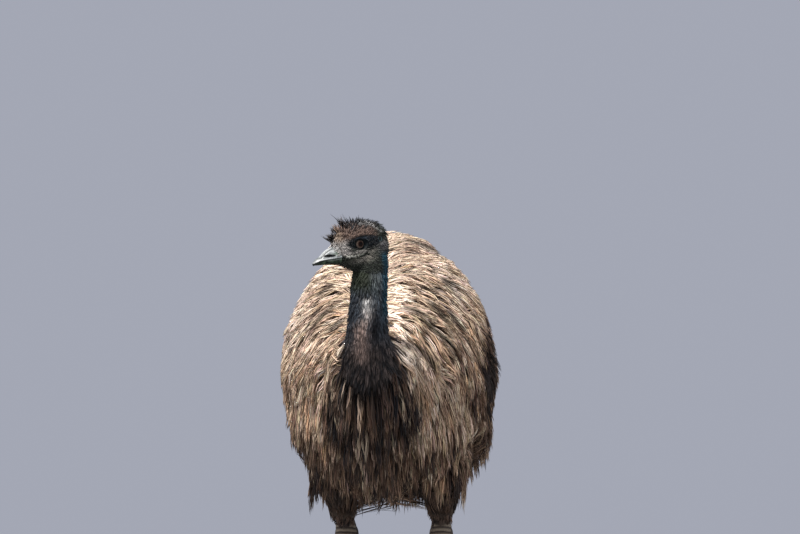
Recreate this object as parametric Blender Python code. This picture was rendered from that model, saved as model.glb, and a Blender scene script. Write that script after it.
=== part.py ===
"""A life-size emu, standing still, as a museum model.

The bird faces -Y with +Z up, and the floor is at z = 0. Its neck is drawn up in an S in front of
the breast, and its head is turned to its right. The solids give the outer shape of the plumage,
out to the feather tips, and the shape of the bare bill, eyes, legs and feet.
Sizes are in metres.
"""

import math
from collections import namedtuple

import bmesh
import bpy
from mathutils import Matrix, Vector

GAP = 0.0003
OVERSIZE = 0.0004
LEFT, RIGHT = 1, -1
SIDES = {"left": LEFT, "right": RIGHT}

# The whole bird is carried this far back, so that the origin is under the middle of its length.
CENTRE_SHIFT = 0.0354

# Trunk and neck, as sections from the tips of the tail to the top of the neck:
# x, y and height of the centre, half width, rise to the back and drop to the belly.
BODY_STATIONS = [
    (0.000, 0.540, 0.596, 0.046, 0.036, 0.028),
    (0.000, 0.512, 0.632, 0.104, 0.106, 0.070),
    (0.000, 0.455, 0.674, 0.153, 0.180, 0.116),
    (0.000, 0.365, 0.712, 0.193, 0.247, 0.157),
    (0.000, 0.250, 0.734, 0.215, 0.291, 0.184),
    (0.000, 0.125, 0.741, 0.230, 0.313, 0.193),
    (0.000, 0.000, 0.745, 0.231, 0.307, 0.194),
    (0.000, -0.120, 0.750, 0.216, 0.278, 0.184),
    (0.000, -0.220, 0.757, 0.188, 0.228, 0.168),
    (0.001, -0.305, 0.765, 0.148, 0.166, 0.149),
    (0.003, -0.375, 0.773, 0.109, 0.111, 0.126),
    (0.006, -0.435, 0.779, 0.080, 0.077, 0.101),
    (0.011, -0.492, 0.790, 0.061, 0.058, 0.075),
    (0.016, -0.545, 0.818, 0.049, 0.048, 0.052),
    (0.020, -0.576, 0.868, 0.043, 0.042, 0.043),
    (0.023, -0.583, 0.925, 0.039, 0.040, 0.038),
    (0.025, -0.579, 0.982, 0.038, 0.040, 0.036),
    (0.025, -0.574, 1.022, 0.030, 0.032, 0.028),
]
# Each length of the body: its first and last station, rings per station and points per ring.
BODY_LENGTHS = {
    "tail": (0.0, 2.0, 2, 28),
    "rump": (2.0, 4.0, 2, 32),
    "trunk": (4.0, 7.5, 2, 36),
    "breast": (7.5, 10.0, 2, 32),
    "neck_lower": (10.0, 12.5, 2, 20),
    "neck_middle": (12.5, 14.1, 2, 18),
    "neck_upper": (14.1, 15.3, 2, 18),
}
NECK_IN_HEAD = (15.3, 17.0, 2, 18)
BACK_OF_NECK = Vector((0, 1, 1))

# Head, measured from the tip of the bill along the line of the closed mouth.
BILL_TIP = Vector((-0.088, -0.655, 0.988))
HEAD_TURN = math.radians(53)
HEAD_DROOP = math.radians(8.5)
HEAD_FRONT = 0.060
# Distance back from the tip, half width, rise above the mouth and drop below it.
HEAD_STATIONS = [
    (HEAD_FRONT, 0.0215, 0.0440, 0.0150),
    (0.068, 0.0255, 0.0555, 0.0195),
    (0.080, 0.0300, 0.0670, 0.0270),
    (0.095, 0.0335, 0.0745, 0.0350),
    (0.112, 0.0350, 0.0775, 0.0390),
    (0.130, 0.0350, 0.0768, 0.0390),
    (0.147, 0.0335, 0.0718, 0.0360),
    (0.162, 0.0295, 0.0620, 0.0290),
    (0.174, 0.0215, 0.0490, 0.0170),
    (0.181, 0.0090, 0.0340, 0.0020),
]
HEAD_WIDEST = 0.022
HEAD_SQUARENESS = 2.15
UPPER_BILL_STATIONS = [
    (0.0000, 0.0024, 0.0020, 0.0026),
    (0.0040, 0.0056, 0.0056, 0.0020),
    (0.0085, 0.0080, 0.0074, 0.0000),
    (0.0150, 0.0106, 0.0084, 0.0000),
    (0.0200, 0.0120, 0.0102, 0.0000),
    (0.0270, 0.0138, 0.0148, 0.0000),
    (0.0380, 0.0166, 0.0204, 0.0000),
    (0.0500, 0.0192, 0.0242, 0.0000),
    (HEAD_FRONT, 0.0210, 0.0272, 0.0000),
]
LOWER_BILL_STATIONS = [
    (0.0095, 0.0050, 0.0000, 0.0040),
    (0.0150, 0.0082, 0.0000, 0.0062),
    (0.0240, 0.0116, 0.0000, 0.0082),
    (0.0360, 0.0150, 0.0000, 0.0104),
    (0.0500, 0.0184, 0.0000, 0.0126),
    (HEAD_FRONT, 0.0204, 0.0000, 0.0146),
]
# The line of the mouth is straight, but bends down over the last stretch before the tip.
MOUTH_BEND, MOUTH_DIP = 0.034, 0.0062
MOUTH_GAP = 0.0006
NOSTRIL_BACK, NOSTRIL_OUT, NOSTRIL_UP = 0.0342, 0.0148, 0.0066
NOSTRIL_SIZE = (0.0038, 0.0125, 0.0025)

EYE_BACK, EYE_OUT, EYE_UP = 0.102, 0.0190, 0.0230
EYE_RADIUS = 0.0130
ORBIT_SIZE = (0.0070, 0.0175, 0.0130)
ORBIT_OUT = 0.0345

EAR_BACK, EAR_OUT, EAR_UP = 0.1570, 0.0292, 0.0270
EAR_RADIUS, EAR_DEPTH, EAR_HOLE = 0.0062, 0.0060, 0.0030

# The wings are short and lie folded in the plumage of the flanks.
# Shoulder and tip of the wing, as places along the body's length and heights.
WING_SHOULDER = (-0.125, 0.865)
WING_TIP = (0.105, 0.760)
WING_HALF_HEIGHT, WING_HALF_DEPTH, WING_INSET = 0.034, 0.014, 0.006
WING_STEPS = 7

# Legs, as joints of the mean stance. One foot stands ahead of the other by STRIDE.
KNEE = Vector((0.118, 0.000, 0.625))
HOCK = Vector((0.106, 0.148, 0.405))
SOLE = Vector((0.112, 0.080, 0.000))
STRIDE = 0.060
FEATHER_END = 0.80
# Share of the way from knee to hock, half width and half depth of the feathered thigh.
THIGH_STATIONS = [
    (-0.16, 0.072, 0.100),
    (0.10, 0.069, 0.096),
    (0.34, 0.059, 0.078),
    (0.54, 0.045, 0.056),
    (0.70, 0.034, 0.041),
    (FEATHER_END, 0.026, 0.031),
]
SHANK_STATIONS = [
    (FEATHER_END, 0.0200, 0.0235),
    (0.88, 0.0200, 0.0235),
    (0.94, 0.0225, 0.0265),
]
# Share of the way from hock to sole, half width and half depth of the bare tarsus.
TARSUS_STATIONS = [
    (-0.055, 0.0110, 0.0130),
    (-0.035, 0.0215, 0.0245),
    (0.02, 0.0250, 0.0290),
    (0.09, 0.0215, 0.0250),
    (0.20, 0.0165, 0.0195),
    (0.50, 0.0155, 0.0175),
    (0.75, 0.0170, 0.0175),
    (0.86, 0.0200, 0.0190),
]
FOOT_TOP = 0.86
INSTEP_STATIONS = [
    (FOOT_TOP, 0.0200, 0.0190),
    (0.93, 0.0245, 0.0240),
    (1.00, 0.0250, 0.0290),
]
# Each toe: its turn away from the middle of the foot, its reach from the sole's centre, half width
# and height at its root, number of knuckles, and the length of its claw.
Toe = namedtuple("Toe", "turn reach half_width height knuckles claw")
TOES = {
    "inner": Toe(math.radians(-31), 0.106, 0.0125, 0.021, 2, 0.024),
    "middle": Toe(math.radians(2), 0.142, 0.0145, 0.025, 3, 0.028),
    "outer": Toe(math.radians(34), 0.102, 0.0120, 0.021, 3, 0.022),
}
TOE_ROOT, TOE_OVERLAP = 0.050, 0.006
TOE_NARROWS, TOE_FLATTENS, KNUCKLE_SWELL = 0.28, 0.34, 0.07
# Shares of a toe's height: its centre above the floor, its rise and its drop, cut off flat below.
TOE_CENTRE, TOE_RISE, TOE_DROP = 0.42, 0.58, 0.50
CLAW_HALF_WIDTH, CLAW_HALF_HEIGHT = 0.0072, 0.0068
CLAW_CENTRE, CLAW_DIP, CLAW_CURVE = 0.0088, 0.0060, 1.6
CLAW_TAPER = math.radians(80)
CLAW_LIFT = 0.0004

COLOURS = {
    "plumage": ((0.30, 0.22, 0.155), 0.85),
    "neck_plumage": ((0.05, 0.045, 0.045), 0.85),
    "bill": ((0.18, 0.185, 0.18), 0.4),
    "eye": ((0.09, 0.035, 0.018), 0.08),
    "skin": ((0.07, 0.12, 0.15), 0.6),
    "leg_scale": ((0.10, 0.085, 0.072), 0.6),
    "claw": ((0.035, 0.03, 0.028), 0.4),
}

Section = namedtuple("Section", "centre ahead back half_width rise drop")


def clear_scene():
    for obj in list(bpy.data.objects):
        bpy.data.objects.remove(obj)


def new_collection(name):
    collection = bpy.data.collections.new(name)
    bpy.context.scene.collection.children.link(collection)
    return collection


def make_material(name):
    colour, roughness = COLOURS[name]
    material = bpy.data.materials.new(name)
    material.use_nodes = True
    shader = material.node_tree.nodes["Principled BSDF"]
    shader.inputs["Base Color"].default_value = (*colour, 1)
    shader.inputs["Roughness"].default_value = roughness
    shader.inputs["Metallic"].default_value = 0
    return material


def spline(rows, place):
    """The row at a place between rows, on a smooth curve through all of them."""
    last = len(rows) - 1
    first = min(int(place), last - 1)
    share = place - first

    def row(index):
        if index < 0:
            return [2 * a - b for a, b in zip(rows[0], rows[1])]
        if index > last:
            return [2 * a - b for a, b in zip(rows[last], rows[last - 1])]
        return rows[index]

    around = [row(first + step) for step in (-1, 0, 1, 2)]
    found = []
    for a, b, c, d in zip(*around):
        slope_b, slope_c = (c - a) / 2, (d - b) / 2
        square, cube = share**2, share**3
        found.append(
            b * (2 * cube - 3 * square + 1)
            + slope_b * (cube - 2 * square + share)
            + c * (3 * square - 2 * cube)
            + slope_c * (cube - square)
        )
    return found


def places_between(first, last, rings_per_station):
    count = max(1, round((last - first) * rings_per_station))
    return [first + (last - first) * step / count for step in range(count + 1)]


def ring_of(section, count, squareness=2.0, floor=None):
    """The points round a section: an oval with unlike halves above and below its centre."""
    back = (section.back - section.back.dot(section.ahead) * section.ahead).normalized()
    left = back.cross(section.ahead)
    power = 2 / squareness
    points = []
    for step in range(count):
        angle = 2 * math.pi * step / count
        across, along = math.cos(angle), math.sin(angle)
        out = math.copysign(abs(across) ** power, across) * section.half_width
        height = section.rise if along > 0 else section.drop
        up = math.copysign(abs(along) ** power, along) * height
        point = section.centre + left * out + back * up
        if floor is not None:
            point.z = max(point.z, floor)
        points.append(point)
    return points


def loft_mesh(name, rings):
    """A closed mesh through rings of equally many points, with a flat face at each end."""
    bm = bmesh.new()
    loops = [[bm.verts.new(point) for point in ring] for ring in rings]
    for near, far in zip(loops, loops[1:]):
        for step in range(len(near)):
            after = (step + 1) % len(near)
            bm.faces.new((near[step], near[after], far[after], far[step]))
    bm.faces.new(reversed(loops[0]))
    bm.faces.new(loops[-1])
    bmesh.ops.remove_doubles(bm, verts=bm.verts, dist=1e-6)
    bmesh.ops.recalc_face_normals(bm, faces=bm.faces)
    mesh = bpy.data.meshes.new(name)
    bm.to_mesh(mesh)
    bm.free()
    return mesh


def smooth_shade(mesh):
    mesh.shade_smooth()
    mesh.set_sharp_from_angle(angle=math.radians(50))


class Builder:
    """Puts named solids and their cutters into their collections, under one empty."""

    def __init__(self):
        self.parts = new_collection("emu")
        self.cutters = new_collection("emu_cutters")
        self.materials = {name: make_material(name) for name in COLOURS}
        self.root = bpy.data.objects.new("emu_root", None)
        self.parts.objects.link(self.root)
        self.root.location = (0, CENTRE_SHIFT, 0)

    def solid(self, name, mesh, material):
        smooth_shade(mesh)
        obj = bpy.data.objects.new(name, mesh)
        obj.data.materials.append(self.materials[material])
        self.parts.objects.link(obj)
        obj.parent = self.root
        return obj

    def cutter(self, name, mesh):
        obj = bpy.data.objects.new(name, mesh)
        self.cutters.objects.link(obj)
        obj.parent = self.root
        obj.hide_render = True
        obj.display_type = "WIRE"
        return obj

    @staticmethod
    def combine(obj, other, operation):
        modifier = obj.modifiers.new(f"{operation.lower()}_{other.name}", "BOOLEAN")
        modifier.object = other
        modifier.operation = operation
        modifier.solver = "EXACT"


def body_section(place):
    """The section of the trunk and neck at a place along its stations."""
    step = 0.02
    here = spline(BODY_STATIONS, place)
    last = len(BODY_STATIONS) - 1
    after = spline(BODY_STATIONS, min(place + step, last))
    before = spline(BODY_STATIONS, max(place - step, 0))
    ahead = (Vector(after[:3]) - Vector(before[:3])).normalized()
    return Section(Vector(here[:3]), ahead, BACK_OF_NECK, *here[3:])


def body_rings(first, last, rings_per_station, points):
    """Rings from one place along the body to another, drawn in by half a gap at each end."""
    rings = []
    for place in places_between(first, last, rings_per_station):
        section = body_section(place)
        ring = ring_of(section, points)
        if place == first and first > 0:
            ring = [point + section.ahead * GAP / 2 for point in ring]
        if place == last:
            ring = [point - section.ahead * GAP / 2 for point in ring]
        rings.append(ring)
    return rings


def build_body(builder):
    """Tail, rump, trunk, breast and the three lengths of neck."""
    made = {}
    for name, length in BODY_LENGTHS.items():
        material = "neck_plumage" if name.startswith("neck") else "plumage"
        made[name] = builder.solid(name, loft_mesh(name, body_rings(*length)), material)
    return made


def head_frame():
    """The matrix that carries head sizes (left, back, up from the bill's tip) into place."""
    ahead = Vector((-math.sin(HEAD_TURN), -math.cos(HEAD_TURN), 0))
    left = Vector((0, 0, 1)).cross(ahead)
    ahead = ahead * math.cos(HEAD_DROOP) - Vector((0, 0, 1)) * math.sin(HEAD_DROOP)
    up = ahead.cross(left)
    frame = Matrix((left, -ahead, up)).transposed().to_4x4()
    frame.translation = BILL_TIP
    return frame


def head_direction(frame, left, back, up):
    return frame.to_3x3() @ Vector((left, back, up))


def mouth_height(back):
    """Height of the line of the mouth at a distance back from the tip."""
    bend = max(0.0, 1 - back / MOUTH_BEND)
    return -MOUTH_DIP * bend**2


def head_loft(name, frame, stations, points, widest=0.0, rings_per_station=1, squareness=2.0):
    """A loft along the head, from rows of distance back, half width, rise and drop."""
    rings = []
    ahead = head_direction(frame, 0, 1, 0)
    up = head_direction(frame, 0, 0, 1)
    for place in places_between(0, len(stations) - 1, rings_per_station):
        back, half_width, rise, drop = spline(stations, place)
        middle = min(widest, (rise - drop) / 2) if widest else 0.0
        centre = frame @ Vector((0, back, mouth_height(back) + middle))
        section = Section(centre, ahead, up, half_width, rise - middle, drop + middle)
        rings.append(ring_of(section, points, squareness))
    return loft_mesh(name, rings)


def ball_mesh(name, segments, rings):
    bm = bmesh.new()
    bmesh.ops.create_uvsphere(bm, u_segments=segments, v_segments=rings, radius=1)
    mesh = bpy.data.meshes.new(name)
    bm.to_mesh(mesh)
    bm.free()
    return mesh


def placed_ball(name, frame, centre, size, segments=16, rings=10):
    """A ball stretched to three half sizes along the head's own axes."""
    mesh = ball_mesh(name, segments, rings)
    stretch = Matrix.Diagonal((*size, 1))
    mesh.transform(frame @ Matrix.Translation(Vector(centre)) @ stretch)
    return mesh


def turned_mesh(name, profile, segments):
    """A closed ring shape: a loop of radius and height pairs turned about the z axis."""
    bm = bmesh.new()
    loops = []
    for step in range(segments):
        angle = 2 * math.pi * step / segments
        spoke = Vector((math.cos(angle), math.sin(angle), 0))
        loops.append([bm.verts.new(spoke * r + Vector((0, 0, z))) for r, z in profile])
    for step in range(segments):
        near, far = loops[step], loops[(step + 1) % segments]
        for index in range(len(profile)):
            after = (index + 1) % len(profile)
            bm.faces.new((near[index], far[index], far[after], near[after]))
    bmesh.ops.recalc_face_normals(bm, faces=bm.faces)
    mesh = bpy.data.meshes.new(name)
    bm.to_mesh(mesh)
    bm.free()
    return mesh


def disc_mesh(name, radius, depth, segments):
    bm = bmesh.new()
    bmesh.ops.create_cone(
        bm, cap_ends=True, segments=segments, radius1=radius, radius2=radius, depth=depth
    )
    mesh = bpy.data.meshes.new(name)
    bm.to_mesh(mesh)
    bm.free()
    return mesh


def build_bill(builder, frame):
    """The two halves of the bill, meeting along the mouth, with a nostril on each side."""
    upper_mesh = head_loft("bill_upper", frame, UPPER_BILL_STATIONS, 20, rings_per_station=2)
    lower_mesh = head_loft("bill_lower", frame, LOWER_BILL_STATIONS, 20)
    upper_mesh.transform(Matrix.Translation(head_direction(frame, 0, -GAP, 0)))
    lower_mesh.transform(Matrix.Translation(head_direction(frame, 0, -GAP, -MOUTH_GAP)))
    upper = builder.solid("bill_upper", upper_mesh, "bill")
    lower = builder.solid("bill_lower", lower_mesh, "bill")
    for name, side in SIDES.items():
        centre = (side * NOSTRIL_OUT, NOSTRIL_BACK, NOSTRIL_UP)
        nostril = placed_ball(f"nostril_cut_{name}", frame, centre, NOSTRIL_SIZE, 10, 6)
        cutter = builder.cutter(f"nostril_cut_{name}", nostril)
        builder.combine(upper, cutter, "DIFFERENCE")


def build_head(builder, frame):
    """The head with the top of the neck, its orbits, eyes and ears."""
    skull = head_loft("head", frame, HEAD_STATIONS, 26, HEAD_WIDEST, squareness=HEAD_SQUARENESS)
    head = builder.solid("head", skull, "neck_plumage")
    first, last, rings, points = NECK_IN_HEAD
    stub_rings = body_rings(first, last, rings, points)
    stub = builder.cutter("neck_in_head", loft_mesh("neck_in_head", stub_rings))
    builder.combine(head, stub, "UNION")
    for name, side in SIDES.items():
        orbit_centre = (side * ORBIT_OUT, EYE_BACK, EYE_UP)
        orbit = placed_ball(f"orbit_cut_{name}", frame, orbit_centre, ORBIT_SIZE, 16, 10)
        builder.combine(head, builder.cutter(f"orbit_cut_{name}", orbit), "DIFFERENCE")
        eye_centre = (side * EYE_OUT, EYE_BACK, EYE_UP)
        socket_size = [EYE_RADIUS + OVERSIZE] * 3
        socket = placed_ball(f"socket_cut_{name}", frame, eye_centre, socket_size, 16, 10)
        builder.combine(head, builder.cutter(f"socket_cut_{name}", socket), "DIFFERENCE")
        eye = placed_ball(f"eye_{name}", frame, eye_centre, [EYE_RADIUS] * 3, 16, 10)
        builder.solid(f"eye_{name}", eye, "eye")
        build_ear(builder, frame, head, name, side)
    return head


def build_ear(builder, frame, head, name, side):
    """The rim of one ear opening, seated in a round pocket behind the eye."""
    outwards = Vector((side, 0.25, 0.0)).normalized()
    turn = outwards.to_track_quat("Z", "X").to_matrix().to_4x4()
    place = Matrix.Translation(Vector((side * EAR_OUT, EAR_BACK, EAR_UP)))
    stand = frame @ place @ turn
    pocket = disc_mesh(f"ear_cut_{name}", EAR_RADIUS + OVERSIZE, 3 * EAR_DEPTH, 16)
    pocket.transform(Matrix.Translation((0, 0, EAR_DEPTH)))
    pocket.transform(stand)
    builder.combine(head, builder.cutter(f"ear_cut_{name}", pocket), "DIFFERENCE")
    floor = -EAR_DEPTH / 2 + GAP
    profile = [
        (EAR_RADIUS, floor),
        (EAR_RADIUS, 0.0008),
        ((EAR_RADIUS + EAR_HOLE) / 2, 0.0020),
        (EAR_HOLE, 0.0006),
        (EAR_HOLE, floor),
    ]
    rim = turned_mesh(f"ear_{name}", profile, 14)
    rim.transform(stand)
    builder.solid(f"ear_{name}", rim, "skin")


def flank(length_place, height):
    """Half width of the trunk at a place along the body's length and a height."""
    near, far = 0.0, 10.0
    for _ in range(30):
        place = (near + far) / 2
        if spline(BODY_STATIONS, place)[1] > length_place:
            near = place
        else:
            far = place
    _, _, middle, half_width, rise, drop = spline(BODY_STATIONS, place)
    reach = rise if height > middle else drop
    return half_width * math.sqrt(1 - ((height - middle) / reach) ** 2)


def wing_mesh(name, side, oversize):
    """A folded wing: a long flat drop that lies along the flank and points back and down."""
    centres = []
    for step in range(WING_STEPS):
        share = step / (WING_STEPS - 1)
        y, z = (a + (b - a) * share for a, b in zip(WING_SHOULDER, WING_TIP))
        centres.append(Vector((side * (flank(y, z) - WING_INSET), y, z)))
    ahead = (centres[-1] - centres[0]).normalized()
    rings = []
    for step, centre in enumerate(centres):
        share = step / (WING_STEPS - 1)
        fullness = max(0.2, math.sin(math.pi * (0.16 + 0.84 * share)) ** 0.6)
        size = fullness * (1 - 0.5 * share)
        height = WING_HALF_HEIGHT * size + oversize
        depth = WING_HALF_DEPTH * size + oversize
        end = {0: -oversize, WING_STEPS - 1: oversize}.get(step, 0.0)
        section = Section(centre + ahead * end, ahead, Vector((0, 0, 1)), depth, height, height)
        rings.append(ring_of(section, 14))
    return loft_mesh(name, rings)


def build_wings(builder, trunk):
    for name, side in SIDES.items():
        cutter = builder.cutter(f"wing_cut_{name}", wing_mesh(f"wing_cut_{name}", side, OVERSIZE))
        builder.combine(trunk, cutter, "DIFFERENCE")
        builder.solid(f"wing_{name}", wing_mesh(f"wing_{name}", side, 0.0), "plumage")


def leg_joints(side):
    """Knee, hock and sole of one leg. The left foot stands ahead of the right one."""
    forward = -side * STRIDE / 2
    knee = Vector((side * KNEE.x, KNEE.y + 0.2 * forward, KNEE.z))
    hock = Vector((side * HOCK.x, HOCK.y + 0.7 * forward, HOCK.z))
    sole = Vector((side * SOLE.x, SOLE.y + forward, SOLE.z))
    return knee, hock, sole


def limb_rings(start, end, stations, points, first_gap=0.0, last_gap=0.0, oversize=0.0):
    """Rings down a straight limb, from rows of share of its length, half width and half depth."""
    ahead = (end - start).normalized()
    made = []
    last = len(stations) - 1
    for index, (share, half_width, half_depth) in enumerate(stations):
        centre = start.lerp(end, share)
        if index == 0:
            centre += ahead * first_gap
        if index == last:
            centre -= ahead * last_gap
        width, depth = half_width + oversize, half_depth + oversize
        section = Section(centre, ahead, Vector((0, -1, 0)), width, depth, depth)
        made.append(ring_of(section, points))
    return made


def build_leg(builder, trunk, name, side):
    """Feathered thigh, bare shank and tarsus of one leg."""
    knee, hock, sole = leg_joints(side)
    thigh_rings = limb_rings(knee, hock, THIGH_STATIONS, 20, last_gap=GAP / 2)
    builder.solid(f"thigh_{name}", loft_mesh(f"thigh_{name}", thigh_rings), "plumage")
    seat_rings = limb_rings(
        knee, hock, THIGH_STATIONS, 20, first_gap=-OVERSIZE, oversize=OVERSIZE
    )
    seat = builder.cutter(f"thigh_cut_{name}", loft_mesh(f"thigh_cut_{name}", seat_rings))
    builder.combine(trunk, seat, "DIFFERENCE")

    shank_rings = limb_rings(knee, hock, SHANK_STATIONS, 14, first_gap=GAP / 2)
    shank = builder.solid(f"shank_{name}", loft_mesh(f"shank_{name}", shank_rings), "leg_scale")
    tarsus_rings = limb_rings(hock, sole, TARSUS_STATIONS, 14, last_gap=GAP / 2)
    tarsus_mesh = loft_mesh(f"tarsus_{name}", tarsus_rings)
    builder.solid(f"tarsus_{name}", tarsus_mesh, "leg_scale")
    clearance = limb_rings(
        hock, sole, TARSUS_STATIONS, 14, first_gap=-OVERSIZE, oversize=OVERSIZE
    )
    joint = builder.cutter(f"hock_cut_{name}", loft_mesh(f"hock_cut_{name}", clearance))
    builder.combine(shank, joint, "DIFFERENCE")
    build_foot(builder, name, side, hock, sole)


def toe_direction(side, toe):
    return Vector((side * math.sin(toe.turn), -math.cos(toe.turn), 0))


def toe_rings(sole, side, toe, first, last, steps, first_gap=0.0):
    """Rings along a toe, with a flat sole and a swelling at each knuckle."""
    ahead = toe_direction(side, toe)
    rings = []
    for step in range(steps + 1):
        reach = first + (last - first) * step / steps
        share = max(0.0, reach - TOE_ROOT) / (toe.reach - TOE_ROOT)
        swell = 1 + KNUCKLE_SWELL * math.cos(2 * math.pi * toe.knuckles * share)
        half_width = toe.half_width * (1 - TOE_NARROWS * share) * swell
        height = toe.height * (1 - TOE_FLATTENS * share) * swell
        centre = sole + ahead * (reach + (first_gap if step == 0 else 0.0))
        centre.z = height * TOE_CENTRE
        section = Section(
            centre, ahead, Vector((0, 0, 1)), half_width, height * TOE_RISE, height * TOE_DROP
        )
        rings.append(ring_of(section, 12, squareness=2.3, floor=0.0))
    return rings


def claw_mesh(name, sole, side, toe, steps=4):
    """A blunt claw that runs on from the toe and curves down to the floor."""
    ahead = toe_direction(side, toe)
    rings = []
    for step in range(steps + 1):
        share = step / steps
        size = math.cos(share * CLAW_TAPER)
        height = CLAW_HALF_HEIGHT * size
        centre = sole + ahead * (toe.reach + GAP + toe.claw * share)
        centre.z = CLAW_CENTRE - CLAW_DIP * share**CLAW_CURVE
        section = Section(
            centre, ahead, Vector((0, 0, 1)), CLAW_HALF_WIDTH * size, height, height
        )
        rings.append(ring_of(section, 10, floor=CLAW_LIFT))
    return loft_mesh(name, rings)


def build_foot(builder, name, side, hock, sole):
    """The foot, whose toe roots are joined into one, then each toe and its claw."""
    instep_rings = limb_rings(hock, sole, INSTEP_STATIONS, 14, first_gap=GAP / 2)
    instep_rings[-1] = [Vector((p.x, p.y, 0.0)) for p in instep_rings[-1]]
    foot = builder.solid(f"foot_{name}", loft_mesh(f"foot_{name}", instep_rings), "leg_scale")
    for toe_name, toe in TOES.items():
        root_name = f"toe_root_{toe_name}_{name}"
        root_rings = toe_rings(sole, side, toe, -TOE_OVERLAP, TOE_ROOT, steps=2)
        root = builder.cutter(root_name, loft_mesh(root_name, root_rings))
        builder.combine(foot, root, "UNION")
        node = f"toe_{toe_name}_{name}"
        rings = toe_rings(
            sole, side, toe, TOE_ROOT, toe.reach, steps=3 * toe.knuckles, first_gap=GAP
        )
        builder.solid(node, loft_mesh(node, rings), "leg_scale")
        claw = f"claw_{toe_name}_{name}"
        builder.solid(claw, claw_mesh(claw, sole, side, toe), "claw")


def main():
    clear_scene()
    builder = Builder()
    body = build_body(builder)
    frame = head_frame()
    build_bill(builder, frame)
    build_head(builder, frame)
    build_wings(builder, body["trunk"])
    for name, side in SIDES.items():
        build_leg(builder, body["trunk"], name, side)


main()
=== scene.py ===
"""The looks of a life-size emu that stands still, as a museum model.

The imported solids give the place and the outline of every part. One skin takes the place of the
solids of flesh, and a coat of narrow feather strands, made as solid mesh, lies over it along the
lie of the plumage. The bill, eyes, lids, ears, claws and the scales of the legs are surfaces of
their own. Sizes are in metres. The bird faces -Y, +Z is up and the floor is at z = 0.
"""

import math
from collections import namedtuple

import bmesh
import bpy
import numpy as np
from mathutils import Matrix, Vector
from mathutils.bvhtree import BVHTree
from mathutils.kdtree import KDTree


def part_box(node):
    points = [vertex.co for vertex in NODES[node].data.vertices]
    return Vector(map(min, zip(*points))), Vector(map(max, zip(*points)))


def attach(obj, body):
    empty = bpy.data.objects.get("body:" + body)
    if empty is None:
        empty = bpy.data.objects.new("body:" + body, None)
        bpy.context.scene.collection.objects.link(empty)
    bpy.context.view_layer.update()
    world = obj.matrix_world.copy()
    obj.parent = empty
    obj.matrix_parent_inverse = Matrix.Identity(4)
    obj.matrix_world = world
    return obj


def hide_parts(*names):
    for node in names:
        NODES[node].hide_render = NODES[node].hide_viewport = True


LEFT, RIGHT = 1, -1
SIDES = {"left": LEFT, "right": RIGHT}
UP = np.array((0.0, 0.0, 1.0))
SEED = 11

# The camera stands far off, a little to the bird's left, and looks at the middle of the frame.
PHOTO_WIDTH = 800
PIXEL_SIZE = 0.00217
CAMERA_DISTANCE, CAMERA_HEIGHT = 20.5, 0.686
CAMERA_AZIMUTH = math.radians(6)
AIM_HEIGHT, AIM_RIGHT = 0.986, 0.0321
SENSOR_WIDTH = 36
FLOOR_RADIUS = 26.0

# The head's own directions start at the tip of the bill and run along the closed mouth.
BILL_TIP = np.array((-0.088, -0.6196, 0.988))
HEAD_TURN = math.radians(53)
HEAD_DROOP = math.radians(8.5)
HEAD_FRONT = 0.060
EYE_PLACE = np.array((0.0190, 0.1026, 0.0232))
EYE_RADIUS = 0.0130

BODY_NODES = ["tail", "rump", "trunk", "breast", "wing_left", "wing_right"]
THIGH_NODES = ["thigh_left", "thigh_right"]
NECK_NODES = ["neck_lower", "neck_middle", "neck_upper"]
LEG_NODES = ["shank", "tarsus", "foot", "toe_inner", "toe_middle", "toe_outer"]
TOES = ["inner", "middle", "outer"]

BODY_VOXEL, HEAD_VOXEL, LEG_VOXEL, BILL_VOXEL, CLAW_VOXEL = 0.008, 0.0017, 0.0019, 0.0008, 0.0009
SEAM_GROWTH = 0.0006
FACET_CORNER = math.radians(50)

# How deep the skin lies under the tips of the coat.
BODY_COAT, THIGH_COAT, NECK_COAT, FACE_COAT, CROWN_COAT = 0.019, 0.009, 0.005, 0.0030, 0.0090

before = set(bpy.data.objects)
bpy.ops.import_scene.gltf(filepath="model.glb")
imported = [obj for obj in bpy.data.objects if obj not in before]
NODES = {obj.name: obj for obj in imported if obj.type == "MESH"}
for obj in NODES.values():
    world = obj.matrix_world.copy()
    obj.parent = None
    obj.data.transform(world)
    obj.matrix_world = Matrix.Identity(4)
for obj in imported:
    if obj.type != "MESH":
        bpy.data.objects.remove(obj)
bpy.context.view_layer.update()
RANDOM = np.random.default_rng(SEED)


def srgb(red, green, blue):
    """A colour as seen on a screen, from 0 to 255, in the linear units of the shaders."""
    shares = np.array((red, green, blue)) / 255
    return np.where(shares <= 0.04045, shares / 12.92, ((shares + 0.055) / 1.055) ** 2.4)


CREAM = srgb(230, 214, 198)
STRAW = srgb(190, 168, 146)
TAN = srgb(150, 126, 106)
UMBER = srgb(98, 76, 62)
SOOT = srgb(44, 36, 34)
JET = srgb(23, 22, 25)
SLATE = srgb(58, 64, 72)
ASH = srgb(168, 166, 164)
MAUVE = srgb(120, 103, 96)
RUST = srgb(196, 154, 118)
TEAL = srgb(30, 67, 82)
OLIVE = srgb(40, 45, 34)


def smooth(low, high, value):
    """0 below low and 1 above high, with a soft step between."""
    share = np.clip((value - low) / (high - low), 0, 1)
    return share * share * (3 - 2 * share)


def bump(centre, width, value):
    return np.exp(-(((value - centre) / width) ** 2))


def unit(vectors):
    return vectors / np.maximum(np.linalg.norm(vectors, axis=-1, keepdims=True), 1e-9)


def dot(a, b):
    return (a * b).sum(-1, keepdims=True)


def mix(a, b, share):
    share = np.asarray(share)[..., None]
    return a * (1 - share) + b * share


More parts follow.
